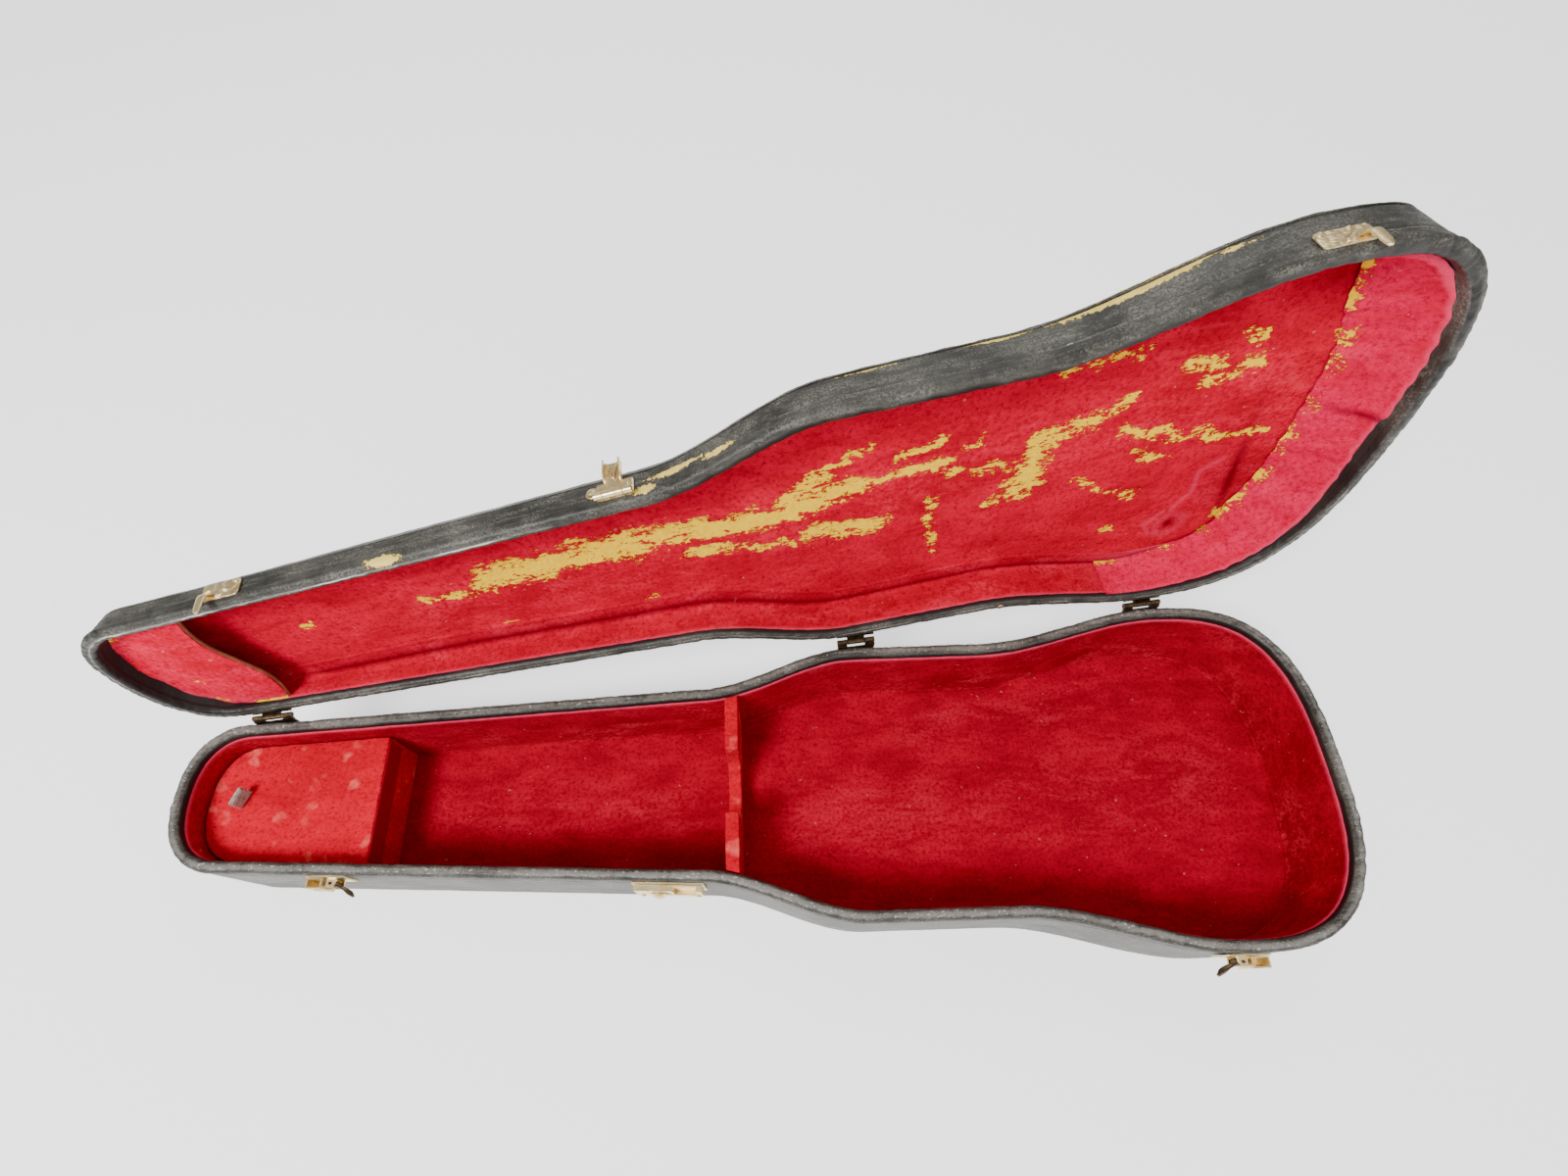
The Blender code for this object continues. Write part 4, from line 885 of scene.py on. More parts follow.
def underside_cloth():
    """The bottom's own piece of leathercloth, its edge lapped just inside the wall's."""
    rows = spine_rows(2.6 * MM, np.linspace(0, 1, 36)[1:])
    sag = np.clip(0.12 * MM * (1 + waves(rows, 30 * MM, seed=21)), 0, 1)
    inner = np.concatenate([rows, sag[..., None]], 2)
    edge = ring_points(
        np.array([[0.9], [0.5], [0.5], [0.8], [1.4], [2.0]]) * MM,
        np.array([[0.9], [0.75], [0.45], [0.15], [0.0], [0.04]]) * MM,
    )
    back = [np.c_[row, np.full(COUNT, SKIN)] for row in spine_rows(0.9 * MM, np.linspace(0, 1, 6)[1:])]
    points = np.concatenate([np.stack(back[::-1]), edge, inner])
    wear = np.full((len(edge) + len(rows), COUNT), 0.1)
    wear[: len(edge) - 1] = 0.42
    wear[len(edge) :] += 0.2 * waves(rows, 120 * MM, seed=4)
    fields = {
        "worn": np.concatenate([np.zeros((len(back), COUNT)), wear]),
        "bare": np.zeros(len(points) * COUNT),
    }
    faces = grid_faces(len(points), COUNT, False, True)
    nodes = ["base_bottom_covering"]
    BASE.add("base_underside_leathercloth", points, faces, "leathercloth", CLOTH, nodes, fields, True, 50)


def lid_drop(neck, tail):
    """How far the cloth turns down inside the lid's rim: further at the ends, less by the hinges."""
    hinge_side = ease((EDGE[:, 1] - 10 * MM) / (70 * MM))
    return WRAP_DROP + 7.5 * MM * neck + 4.6 * MM * tail * (1 - 0.7 * hinge_side)


def make_lid_shell():
    neck, tail = ends_share(*LID_ENDS)
    ends = np.maximum(neck, tail)
    rim_cloth(
        "lid_side_leathercloth", LID, LID_WALL - 0.4 * MM, lid_drop(neck, tail), 31, ["lid_side_covering"],
        9 * MM - 4.8 * MM * ends, (0.14 + 0.26 * ends) * MM, lid_wall_marks, lid_rim_highlights_and_darkening,
    )
    rib_board("lid_bent_rib", LID, LID_WALL - 1 * MM, ["lid_rib"])
    tray = [
        (WOOD_INSET + LID_CHAMFER + 2 * MM, LID_DEPTH - SKIN - GAP - WOOD),
        (WOOD_INSET + WOOD, LID_WALL + 2 * MM),
        (WOOD_INSET + WOOD, LID_WALL - 0.5 * MM),
        (WOOD_INSET, LID_WALL - 0.5 * MM),
        (WOOD_INSET, LID_WALL + 0.5 * MM),
        (WOOD_INSET + LID_CHAMFER, LID_DEPTH - SKIN - GAP),
    ]
    board("lid_top_wood", LID, tray, lid_depth, ["lid_top_board"])
    lid_top_cloth()


def chamfer_profile():
    """From the lid's wall over its ridge and chamfer to its top, as rows of (inset, depth)."""
    start, end = np.array([1.8 * MM, LID_WALL + 3.0 * MM]), np.array([9.4 * MM, LID_DEPTH - 1.4 * MM])
    return np.array([
        (0.0, LID_WALL + 0.1 * MM),
        (-0.1 * MM, LID_WALL + 0.6 * MM),
        (0.15 * MM, LID_WALL + 1.2 * MM),
        (0.9 * MM, LID_WALL + 2.1 * MM),
        *(start + (end - start) * n / 8 for n in range(9)),
        (10.6 * MM, LID_DEPTH - 0.65 * MM),
        (11.8 * MM, LID_DEPTH - 0.2 * MM),
        (13.4 * MM, LID_DEPTH),
    ])


def chamfer_wear(across):
    """Where the chamfer is worn to the wood: station, length, height and distance from the ridge, in mm."""
    bare = np.zeros((len(across), COUNT))
    spots = (
        (346, 34, 8, 11), (384, 34, 10, 10), (404, 26, 6, 6), (470, 50, 6, 14), (522, 56, 9, 12),
        (600, 64, 12, 9), (640, 44, 9, 11), (118, 16, 5, 12), (262, 22, 4, 13),
    )
    for station, length, reach, centre in spots:
        near = np.clip(1 - np.abs(across - centre * MM) / (reach * MM), 0, 1)
        bare = np.maximum(bare, 1.5 * worn_spot(station, length, FRONT)[None] * near[:, None])
    tail_corner = 1.2 * worn_spot(742, 22, ~FRONT)[None] * hump(across, 3 * MM, 6 * MM)[:, None]
    return np.maximum(bare, tail_corner)


def lid_top_cloth():
    """Leathercloth over the lid's chamfer and top, worn to the wood along its front ridges."""
    profile = chamfer_profile()
    tangent, across = path_tangents(profile)
    place = ring_points(profile[:, :1], lid_level(profile[:, 1:]))
    height = 0.14 * MM * waves(place, 16 * MM, seed=51) + 0.07 * MM * waves(place, 5 * MM, seed=52)
    height[:2] *= 0.2
    inset, down = lid_shape(profile[:, :1] + 0 * height, profile[:, 1:] + 0 * height)
    inset, down = inset - height * tangent[:, 1:], down + height * tangent[:, :1]
    edge = ring_points(inset, lid_level(down))
    shares = np.linspace(0, 1, 44)[1:]
    from_edge = shares[:, None]
    rows = spine_rows(inset[-1], shares)
    rise = 0.8 * MM * (1 - (1 - from_edge) ** 3) + 0.25 * MM * waves(rows, 70 * MM, seed=53)
    rise = rise + 0.08 * MM * waves(rows, 11 * MM, seed=54)
    rise = rise * np.minimum(1, from_edge * 8)
    over = np.concatenate([rows, lid_level(top_depth(rows[..., 0] + CASE_LENGTH / 2) + rise)[..., None]], 2)
    back = [(SKIN, LID_WALL + 0.1 * MM), (SKIN + 0.1 * MM, LID_WALL + 0.9 * MM)]
    back.append((11.6 * MM, LID_DEPTH - SKIN))
    back_inset, back_down = lid_shape(*round_case(back))
    deep = spine_cap(back_inset[-1], LID_DEPTH - SKIN, np.linspace(0, 1, 6)[1:], lid_level, lid_depth)[::-1]
    back_points = ring_points(back_inset, lid_level(back_down))[::-1]
    points = np.concatenate([np.stack(deep), back_points, edge, over])
    hidden = np.zeros((len(deep) + len(back), COUNT))
    ridge = 0.30 * hump(across, 0.8 * MM, 1.6 * MM) + 0.30 * hump(across, 14.5 * MM, 1.8 * MM)
    wear = ridge[:, None] + 0.13 * waves(place, 55 * MM, seed=56)
    top_wear = 0.02 + 0.2 * waves(rows, 90 * MM, seed=57)
    top_wear += 0.3 * (1 - ease(from_edge / 0.04))
    bare = chamfer_wear(across)
    top_bare = np.clip(bare[-1][None] * (1 - from_edge * 14), 0, 1)
    fields = {
        "worn": np.concatenate([hidden, wear, top_wear]),
        "bare": np.concatenate([hidden, bare, top_bare]),
    }
    faces = grid_faces(len(points), COUNT, False, True)
    nodes = ["lid_top_covering"]
    LID.add("lid_top_leathercloth", points, faces, "leathercloth", CLOTH, nodes, fields, True, 50)


# --- felt -----------------------------------------------------------------------------------------

# Strokes on the felt: width in mm, strength, then stations and distances across in mm. The panel's
# strokes are where its pile is worn off, rubbed thin and torn, and the floor's where it is rubbed.
PANEL_WEAR = (
    (4, 0.85, (189, 1), (207, 4), (236, 8)),
    (13, 1.3, (236, -5), (268, -5), (300, -8), (330, -6)),
    (11, 1.2, (320, -11), (352, -9), (384, -5), (410, -4)),
    (8, 0.95, (346, -10), (392, -2)),
    (10, 1.1, (404, -5), (441, -11), (458, -14)),
    (6, 1.0, (456, -14), (484, -16), (514, -18)),
    (7, 1.0, (420, -14), (442, -28)),
    (4, 0.9, (442, -28), (459, -36), (472, -41)),
    (5, 0.75, (490, -29), (511, -33)),
    (5, 0.75, (524, -27), (538, -26)),
    (5, 0.85, (520, -10), (548, -5)),
    (7, 0.85, (546, 21), (560, 18)),
    (14, 1.0, (564, 14), (568, 2)),
    (9, 1.05, (567, 2), (570, -14), (580, -21), (598, -24)),
    (6, 0.9, (609, -29), (613, -34)),
    (9, 0.95, (436, 16), (457, 16), (477, 20)),
    (4, 0.85, (355, 14), (374, 13), (401, 17)),
    (5, 0.8, (401, 17), (419, 20)),
    (4, 0.75, (363, 8), (390, 12)),
    (5, 1.05, (618, -12), (640, -5), (654, -2)),
    (4, 0.85, (658, -1), (677, 6), (706, 9)),
    (5, 0.8, (644, -50), (662, -43)),
    (5, 0.85, (674, -44), (680, -38)),
    (5, 0.8, (652, -36), (664, -35), (675, -38)),
    (4, 0.75, (668, -59), (677, -57)),
    (4, 0.7, (574, -60), (594, -62), (617, -61)),
    (4, 0.7, (598, 20), (619, 34), (642, 42)),
    (4, 0.7, (630, 71), (637, 71)),
    (4, 0.7, (630, 8), (652, 15)),
    (4, 0.72, (509, 9), (510, 30), (510, 53)),
    (3.5, 0.85, (112, 1), (120, 1)),
    (3.5, 0.85, (228, 40), (236, 41)),
    (3, 0.95, (166, 54), (178, 55)),
    (3.5, 0.8, (320, 46), (328, 46)),
    (3, 0.95, (364, 61), (376, 62)),
    (5, 0.85, (718, -56), (722, -48)),
    (5, 0.9, (726, -40), (733, -24)),
    (7, 1.0, (737, -15), (737, 18)),
    (5, 0.9, (731, 44), (728, 58)),
    (7, 1.0, (717, 66), (709, 80)),
    (4, 0.9, (709, 82), (704, 92)),
)
PANEL_RUBBED = (
    (30, 0.8, (200, 10), (420, 0), (520, -10)),
    (34, 0.7, (520, -10), (640, -20), (720, 0)),
    (26, 0.9, (640, -50), (700, -20)),
    (24, 0.9, (700, 60), (735, 0)),
    (16, 0.8, (660, 60), (676, 92)),
)
PANEL_TEARS = (
    (2.4, 0.8, (672, 64), (681, 50), (679, 34), (690, 26)),
    (2.0, 0.7, (664, 84), (658, 74), (668, 64)),
)
FLOOR_RUBBED = (
    (40, 0.7, (420, -20), (700, 10)),
    (26, 0.6, (150, 0), (330, -6)),
    (20, 0.8, (500, 50), (640, 70)),
)


# The hole in the lid panel's felt near the hinge side of its tail end: a station and a distance across.
HOLE = (676 * MM, 78 * MM)


def felt_fields(shape, **given):
    return {name: given.get(name, np.zeros(shape)) for name in FELT_FIELDS}


def panel_felt(name, half, inset, surface, thickness, rings, fields, nodes, material, facing, bend):
    """A felt sheet over a panel, closed at its back. Facing is the way its pile looks, up or down."""
    rows = spine_rows(inset, np.linspace(0, 1, rings))
    stations, across = rows[..., 0] + CASE_LENGTH / 2, rows[..., 1]
    lift = bend(stations, across)
    lift[0] -= 0.5 * MM
    top = np.concatenate([rows, (surface(stations) + facing * lift)[..., None]], 2)
    under = spine_rows(inset, np.linspace(0, 1, 7))[::-1]
    back_level = surface(under[..., 0] + CASE_LENGTH / 2) - facing * thickness
    points = np.concatenate([np.concatenate([under, back_level[..., None]], 2), top])
    hidden = np.zeros(under.shape[:2])
    values = {key: np.concatenate([hidden, made]) for key, made in fields(stations, across).items()}
    faces = grid_faces(len(points), COUNT, False, True)
    return half.add(name, points, faces, "red_felt", material, nodes, values, True, 70)


def wall_felt(name, half, rows, back_rows, wave, fields, nodes, material):
    """A felt strip round a wall. Rows are (inset, depth), from its rim edge to its foot and back up."""
    inset, down = round_case(rows)
    place = ring_points(inset, half.level(down))
    ripple = wave(place, inset)
    ripple[0] *= 0.3
    back_inset, back_down = round_case(back_rows)
    points = half.points(np.concatenate([inset + ripple, back_inset]), np.concatenate([down, back_down]))
    hidden = np.zeros_like(back_inset)
    values = {key: np.concatenate([made, hidden]) for key, made in fields(down, place).items()}
    faces = grid_faces(len(points), COUNT, True, True)
    return half.add(name, points, faces, "red_felt", material, nodes, values, sharp=70)


def torn_wear(stations, across):
    """The panel's worn patches, their outlines pulled about by the way the pile tore."""
    flat = paired(stations, across)
    along = stations + 3.2 * MM * waves(flat, 21 * MM, seed=64) + 1.4 * MM * waves(flat, 8 * MM, seed=65)
    aside = across + 1.8 * MM * waves(flat, 17 * MM, seed=66) + 0.9 * MM * waves(flat, 7 * MM, seed=67)
    return stroke_field(along, aside, PANEL_WEAR)


def hole_and_rings(stations, across, hole, ring, spread):
    """A hump over the oval hole, and one over a ring round it."""
    aside, along = stations - HOLE[0], across - HOLE[1]
    oval = hump(np.hypot(aside, along * 0.8), 0, hole)
    return oval, hump(np.hypot(aside, along), ring, spread)


def slack_fold(stations, across, station, width):
    """The slack fold that runs across the panel between the hole and its tail end."""
    return hump(stations - station - across * 0.12, 0, width) * hump(across, 40 * MM, 45 * MM)


def lid_panel_bend(stations, across):
    """How far the panel's felt stands off its board: sagging, sunk at the hole, raised at the fold."""
    flat = paired(stations, across)
    sag = 0.45 * MM * waves(flat, 95 * MM, seed=61) + 0.14 * MM * waves(flat, 17 * MM, seed=62)
    torn, ring = hole_and_rings(stations, across, 5 * MM, 14 * MM, 3 * MM)
    fold = slack_fold(stations, across, 690 * MM, 3.5 * MM)
    bare = torn_wear(stations, across)
    return sag - 1.2 * MM * torn + 0.5 * MM * ring + 0.7 * MM * fold - 0.25 * MM * (bare > 0.5)


def lid_panel_fields(stations, across):
    """Where the panel's felt is worn to its backing, thin, or edged pink, and where painted shade darkens it."""
    bare = np.clip(torn_wear(stations, across), 0, 1.35)
    thin = stroke_field(stations, across, PANEL_RUBBED)
    hole, ring = hole_and_rings(stations, across, 3.4 * MM, 9 * MM, 3 * MM)
    fold = slack_fold(stations, across, 697 * MM, 3.2 * MM)
    corner = 0.45 * hump(stations, 704 * MM, 26 * MM) * hump(across, -84 * MM, 26 * MM)
    hollow = 0.35 * hump(stations, 700 * MM, 22 * MM) * hump(across, 46 * MM, 26 * MM)
    # Painted shade in the hole, along the slack fold, in the tail's front corner and in a hollow on the hinge
    # side.
    dark = np.clip(hole + 0.6 * fold + corner + hollow, 0, 1)
    edge = np.maximum(0.35 * ring, 0.7 * stroke_field(stations, across, PANEL_TEARS))
    return felt_fields(stations.shape, bare=bare, thin=thin, dark=dark, edge=edge)


def floor_bend(stations, across):
    flat = paired(stations, across)
    return 0.35 * MM * waves(flat, 80 * MM, seed=71) + 0.12 * MM * waves(flat, 14 * MM, seed=72)


def floor_fields(stations, across):
    return felt_fields(stations.shape, thin=stroke_field(stations, across, FLOOR_RUBBED) * 0.6)


def felt_edge(top, lip):
    """The rolled upper edge of a wall's felt, which starts at top, as rows of (inset, depth)."""
    roll = ((0.3, 0.0), (0.9, lip), (1.35, 0.35), (1.5, 1.0))
    return [(WRAP_INSET + i * MM, top + d * MM) for i, d in roll]


def make_lid_felt():
    inset, _ = lid_shape(13.4 * MM + np.zeros(COUNT), LID_FELT + np.zeros(COUNT))
    panel = panel_felt(
        "lid_panel_felt", LID, inset, lambda at: lid_level(panel_depth(at)), 1.1 * MM, 58, lid_panel_fields,
        ["lid_top_lining"], LID_RED, -1, lid_panel_bend,
    )
    top = lid_drop(*ends_share(*LID_ENDS)) - 1.2 * MM
    foot = 31 * MM
    rows = felt_edge(top, -0.05)
    for share in np.linspace(0.06, 1, 16):
        rows.append((FELT_INSET, top + 1 * MM + (foot - 1 * MM - top) * share))
    over_panel = ((8.6, 32.0), (10.0, 32.5), (12.0, 32.75), (14.2, 32.75), (15.4, 32.7), (15.9, 32.9))
    behind = ((15.9, 33.9), (12.0, 33.7), (8.9, 33.3), (7.4, 32.6), (6.75, 31.2), (6.75, 30.0), (6.75, 16.0))
    rows += [(i * MM, d * MM) for i, d in over_panel]
    back_rows = [(i * MM, d * MM) for i, d in behind] + [(FELT_BACK, top)]

    def wave(place, inset):
        free = np.minimum(1, (inset - WRAP_INSET) / (1.5 * MM))
        made = 0.30 * MM * waves(place, 48 * MM, seed=81) + 0.12 * MM * waves(place, 9 * MM, seed=82)
        return np.abs(made) * free

    def fields(down, place):
        edge = hump(down - top[None], 0.3 * MM, 1.1 * MM) * (0.6 + 0.4 * FRONT[None])
        thin = np.clip(0.35 + 0.5 * waves(place, 40 * MM, seed=83), 0, 1)
        hinge_side = ~FRONT[None] * ease((STATION - 70 * MM) / (30 * MM))[None]
        # Painted shade in the crease where the wall's felt meets the panel, and lightly over the hinge side's
        # wall.
        crease = hump(down, 32.1 * MM, 0.45 * MM) * hinge_side
        pink = 0.75 * ease((STATION - 600 * MM) / (85 * MM))[None] * ease((down - 6 * MM) / (6 * MM))
        dark = 0.95 * crease + 0.10 * hinge_side
        return felt_fields(down.shape, thin=thin, edge=np.maximum(edge, pink), dark=dark)

    wall = wall_felt("lid_wall_felt", LID, rows, back_rows, wave, fields, ["lid_wall_lining"], LID_RED)
    return panel, wall


def make_base_felt():
    floor = panel_felt(
        "base_floor_felt", BASE, 7.2 * MM, lambda at: FLOOR + 0 * at, 1.4 * MM, 46, floor_fields,
        ["base_floor_lining"], SHADED_BASE_RED, 1, floor_bend,
    )
    top = WRAP_DROP + 0.4 * MM
    foot = BASE_DEPTH - FLOOR
    rows = felt_edge(top, -0.1)
    for share in np.linspace(0.04, 1, 22):
        rows.append((FELT_INSET, top + 1 * MM + (foot - 2.2 * MM - top) * share))
    rows += [(8.3 * MM, foot - 0.9 * MM), (8.2 * MM, foot + 0.3 * MM)]
    back_rows = [(8.0 * MM, foot + 0.9 * MM), (FELT_BACK, foot + 0.6 * MM), (FELT_BACK, top)]

    def wave(place, inset):
        made = 0.28 * MM * waves(place, 60 * MM, seed=91) + 0.1 * MM * waves(place, 10 * MM, seed=92)
        return np.abs(made)

    def fields(down, place):
        thin = np.clip(0.25 + 0.5 * waves(place, 50 * MM, seed=93), 0, 1)
        return felt_fields(down.shape, thin=thin, edge=hump(down, top, 1.3 * MM) * 0.9)

    wall = wall_felt("base_wall_felt", BASE, rows, back_rows, wave, fields, ["base_wall_lining"], SHADED_BASE_RED)
    return floor, wall


# --- fittings -------------------------------------------------------------------------------------


def wall_width(station):
    return float(half_width(np.array(station)))


def front_frame(station, before=0.0, after=0.0):
    """At the front wall's rim: X along the wall, Y into the case, Z up, moved out to touch the wall."""
    slope = (wall_width(station + MM) - wall_width(station - MM)) / (2 * MM)
    spot = (station - CASE_LENGTH / 2, -wall_width(station), BASE_DEPTH)
    place = Matrix.Translation(spot) @ Matrix.Rotation(-math.atan(slope), 4, "Z")
    into = place.inverted()
    steps = np.linspace(station - before, station + after, 25)
    walls = [into @ Vector((s - CASE_LENGTH / 2, -wall_width(s), BASE_DEPTH)) for s in steps]
    return place @ Matrix.Translation((0, min(0.0, min(w.y for w in walls)), 0))


def smooth_path(corners, count):
    """Evenly spaced points on a soft curve through corners, given in millimetres."""
    corners = np.array(corners, float) * MM
    run = np.concatenate([[0], np.cumsum(np.linalg.norm(np.diff(corners, axis=0), axis=1))])
    rows = []
    for t in np.linspace(0, run[-1], count):
        k = int(np.clip(np.searchsorted(run, t) - 1, 0, len(run) - 2))
        u = (t - run[k]) / (run[k + 1] - run[k])
        before, after = corners[max(k - 1, 0)], corners[min(k + 2, len(corners) - 1)]
        start, end = corners[k], corners[k + 1]
        rows.append(
            start * (2 * u**3 - 3 * u**2 + 1)
            + (end - before) / 2 * (u**3 - 2 * u**2 + u)
            + end * (3 * u**2 - 2 * u**3)
            + (after - start) / 2 * (u**3 - u**2)
        )
    return np.array(rows)


def sweep(path, across, widths, thicknesses, power=2.0, camber=0.0, around=20):
    """Points and faces of a bar swept along a path. Across points along its width at each place."""
    count = len(path)
    widths = np.broadcast_to(np.asarray(widths, float), count)
    thicknesses = np.broadcast_to(np.asarray(thicknesses, float), count)
    along = np.gradient(path, axis=0)
    along /= np.linalg.norm(along, axis=1)[:, None]
    across = np.broadcast_to(np.asarray(across, float), path.shape)
    across = across - (across * along).sum(1)[:, None] * along
    across /= np.linalg.norm(across, axis=1)[:, None]
    up = np.cross(along, across)
    turn = np.linspace(0, 2 * math.pi, around, endpoint=False)
    x = np.sign(np.cos(turn)) * np.abs(np.cos(turn)) ** (2 / power)
    y = np.sign(np.sin(turn)) * np.abs(np.sin(turn)) ** (2 / power)
    bow = camber * (1 - x**2)
    rings = (
        path[:, None]
        + across[:, None] * (x[None, :, None] * widths[:, None, None] / 2)
        + up[:, None] * (y[None, :, None] * thicknesses[:, None, None] / 2 + bow[None, :, None])
    )
    middle = rings.mean(1, keepdims=True)
    ends = [middle[:1] + (rings[:1] - middle[:1]) * s for s in (0, 0.6)]
    tails = [middle[-1:] + (rings[-1:] - middle[-1:]) * s for s in (0.6, 0)]
    rings = np.concatenate([*ends, rings, *tails])
    return rings.reshape(-1, 3), grid_faces(len(rings), around, False, True)


def turned(profile, centre, towards, around=40, ring=False):
    """Points and faces of a shape turned about a line: rows of (radius, height) in millimetres.

    A ring's last row joins its first, and any other shape starts and ends on the line.
    """
    towards = Vector(towards).normalized()
    side = towards.orthogonal().normalized()
    other = towards.cross(side)
    turn = np.linspace(0, 2 * math.pi, around, endpoint=False)
    circle = np.cos(turn)[:, None] * np.array(side) + np.sin(turn)[:, None] * np.array(other)
    rows = [np.array(centre) + (circle * r + np.array(towards) * h) * MM for r, h in profile]
    return np.concatenate(rows), grid_faces(len(rows), around, ring, True)


def relief_plate(size, corner, out, thick, relief, fineness=0.35):
    """A plate against the wall, y pointing in: rounded corners, and a pressed front."""
    x0, x1, z0, z1 = (v * MM for v in size)
    middle_x, middle_z = (x0 + x1) / 2, (z0 + z1) / 2
    half_x, half_z = (x1 - x0) / 2, (z1 - z0) / 2
    corner *= MM
    across = np.linspace(-1, 1, max(6, int((x1 - x0) / (fineness * MM))))
    eased = np.sin(np.linspace(-math.pi / 2, math.pi / 2, max(8, int((z1 - z0) / (fineness * MM)))))
    rise = np.clip(np.abs(eased) * half_z - (half_z - corner), 0, corner)
    width = half_x - corner + np.sqrt(corner**2 - rise**2)
    x = middle_x + across[None] * width[:, None]
    z = middle_z + eased[:, None] * half_z + np.zeros_like(x)
    border = np.maximum(np.abs(across)[None] ** 24, np.abs(eased)[:, None] ** 24)
    front = -(out + thick) * MM - relief(x / MM, z / MM) * MM * (1 - border) + 0.25 * MM * border
    back = np.full_like(x, -out * MM)
    rows = np.concatenate([np.stack([x, front, z], 2), np.stack([x, back, z], 2)[:, ::-1]], 1)
    points = rows.reshape(-1, 3)
    faces = list(grid_faces(len(rows), rows.shape[1], False, True))
    columns = len(across)
    for row in (0, len(rows) - 1):
        first = row * rows.shape[1]
        for n in range(columns - 1):
            under = first + 2 * columns - 1 - n
            faces.append((first + n, first + n + 1, under - 1, under))
    return points, np.array(faces)


def moved(part, x=0.0, z=0.0):
    points, faces = part
    return points + np.array([x, 0, z]), faces


def joined(*parts):
    """Several closed shapes as one mesh's points and faces."""
    points, faces, first = [], [], 0
    for spots, quads in parts:
        points.append(spots)
        faces.append(np.asarray(quads) + first)
        first += len(spots)
    return np.concatenate(points), np.concatenate(faces)


def metal_piece(name, parts, place, body, material, nodes=(), turn=STILL, sharp=40):
    points, faces = joined(*parts)
    data = make_mesh(name, points, faces, weld=True)
    data.transform(place)
    return add_piece(name, data, body, material, nodes, turn, sharp)


def dents(x, z, seed):
    return waves(paired(x, z), 4.0, 7, seed)


def make_catch(name, station, side):
    """The lid's half of a side latch: a pressed plate with an arched ridge, and a leaf-shaped tongue."""
    place = front_frame(station, LATCH_REACH, LATCH_REACH)

    def relief(x, z):
        arch = hump(np.hypot(x + side * 6.2, (z - 4.4) * 0.9), 5.6, 0.75) * 0.85
        second = hump(np.hypot(x - side * 4.0, (z - 16.5) * 0.9), 7.4, 0.6) * 0.55
        dish = hump(np.hypot(x - side * 3.2, z - 9.4), 0, 2.6) * 0.9
        return arch + second + dish + 0.16 * dents(x, z, 12 + side)

    plate = relief_plate((-11.5, 11.5, 4.6, 16), 2.2, 0.3, 0.9, relief)
    corners = [(0, -1.2, 8.4), (0, -1.7, 7.4), (0, -3.4, 6.2), (0, -4.7, 4.4)]
    corners += [(0, -4.9, 0), (0, -4.8, -4), (0, -4.6, -7.2)]
    share = np.linspace(0, 1, 30)
    widths = (5.0 - 0.6 * share) * np.sqrt(np.clip((1.02 - share) / 0.22, 0, 1)) * MM
    tongue = sweep(smooth_path(corners, len(share)), (1, 0, 0), widths, 0.9 * MM, 4, 0.35 * MM)
    tongue = moved(tongue, -side * 6.2 * MM)
    head = [(0, 0.75), (0.9, 0.6), (1.35, 0.15), (1.4, -0.3), (0, -0.3)]
    nail = turned(head, (side * 1.0 * MM, -1.3 * MM, 6.6 * MM), (0, -1, 0))
    return metal_piece(
        f"{name}_catch_pressed_plate", [plate, tongue, nail], place, "lid", BRASS,
        [f"{name}_catch_plate"], LID_TURN,
    )


def make_lever(name, station, side):
    """The latch's swinging lever: a folded strip with a pointed, turned-out end."""
    place = front_frame(station, LATCH_REACH, LATCH_REACH)
    pivot = Vector((side * 2.6 * MM, -4.4 * MM, 0))
    corners = [(side * a, b, 0) for a, b in ((1.2, 0), (4, 0.1), (9, -0.3), (12.4, -1.5), (15.2, -1.9))]
    share = np.linspace(0, 1, 26)
    heights = (7.6 + 2.0 * np.sin(share * math.pi)) * np.sqrt(np.clip((1.01 - share) / 0.35, 0, 1)) * MM
    arm = sweep(smooth_path(corners, len(share)), (0, 0, 1), heights, 1.3 * MM, 4, 0.35 * MM * side)
    tube = [(0.95, -8.7), (2.0, -8.6), (2.1, -9.0), (2.1, -16.6), (2.0, -17), (0.95, -16.9)]
    barrel = turned(tube, (0, 0, 0), (0, 0, 1), ring=True)
    turned_out = Matrix.Rotation(math.radians(-side * LEVER_TURNED_OUT), 4, "Z")
    return metal_piece(
        f"{name}_latch_pointed_lever", [moved(arm, z=-12.8 * MM), barrel],
        place @ Matrix.Translation(pivot) @ turned_out, f"{name}_lever", STEEL,
        [f"{name}_latch_lever"],
    )


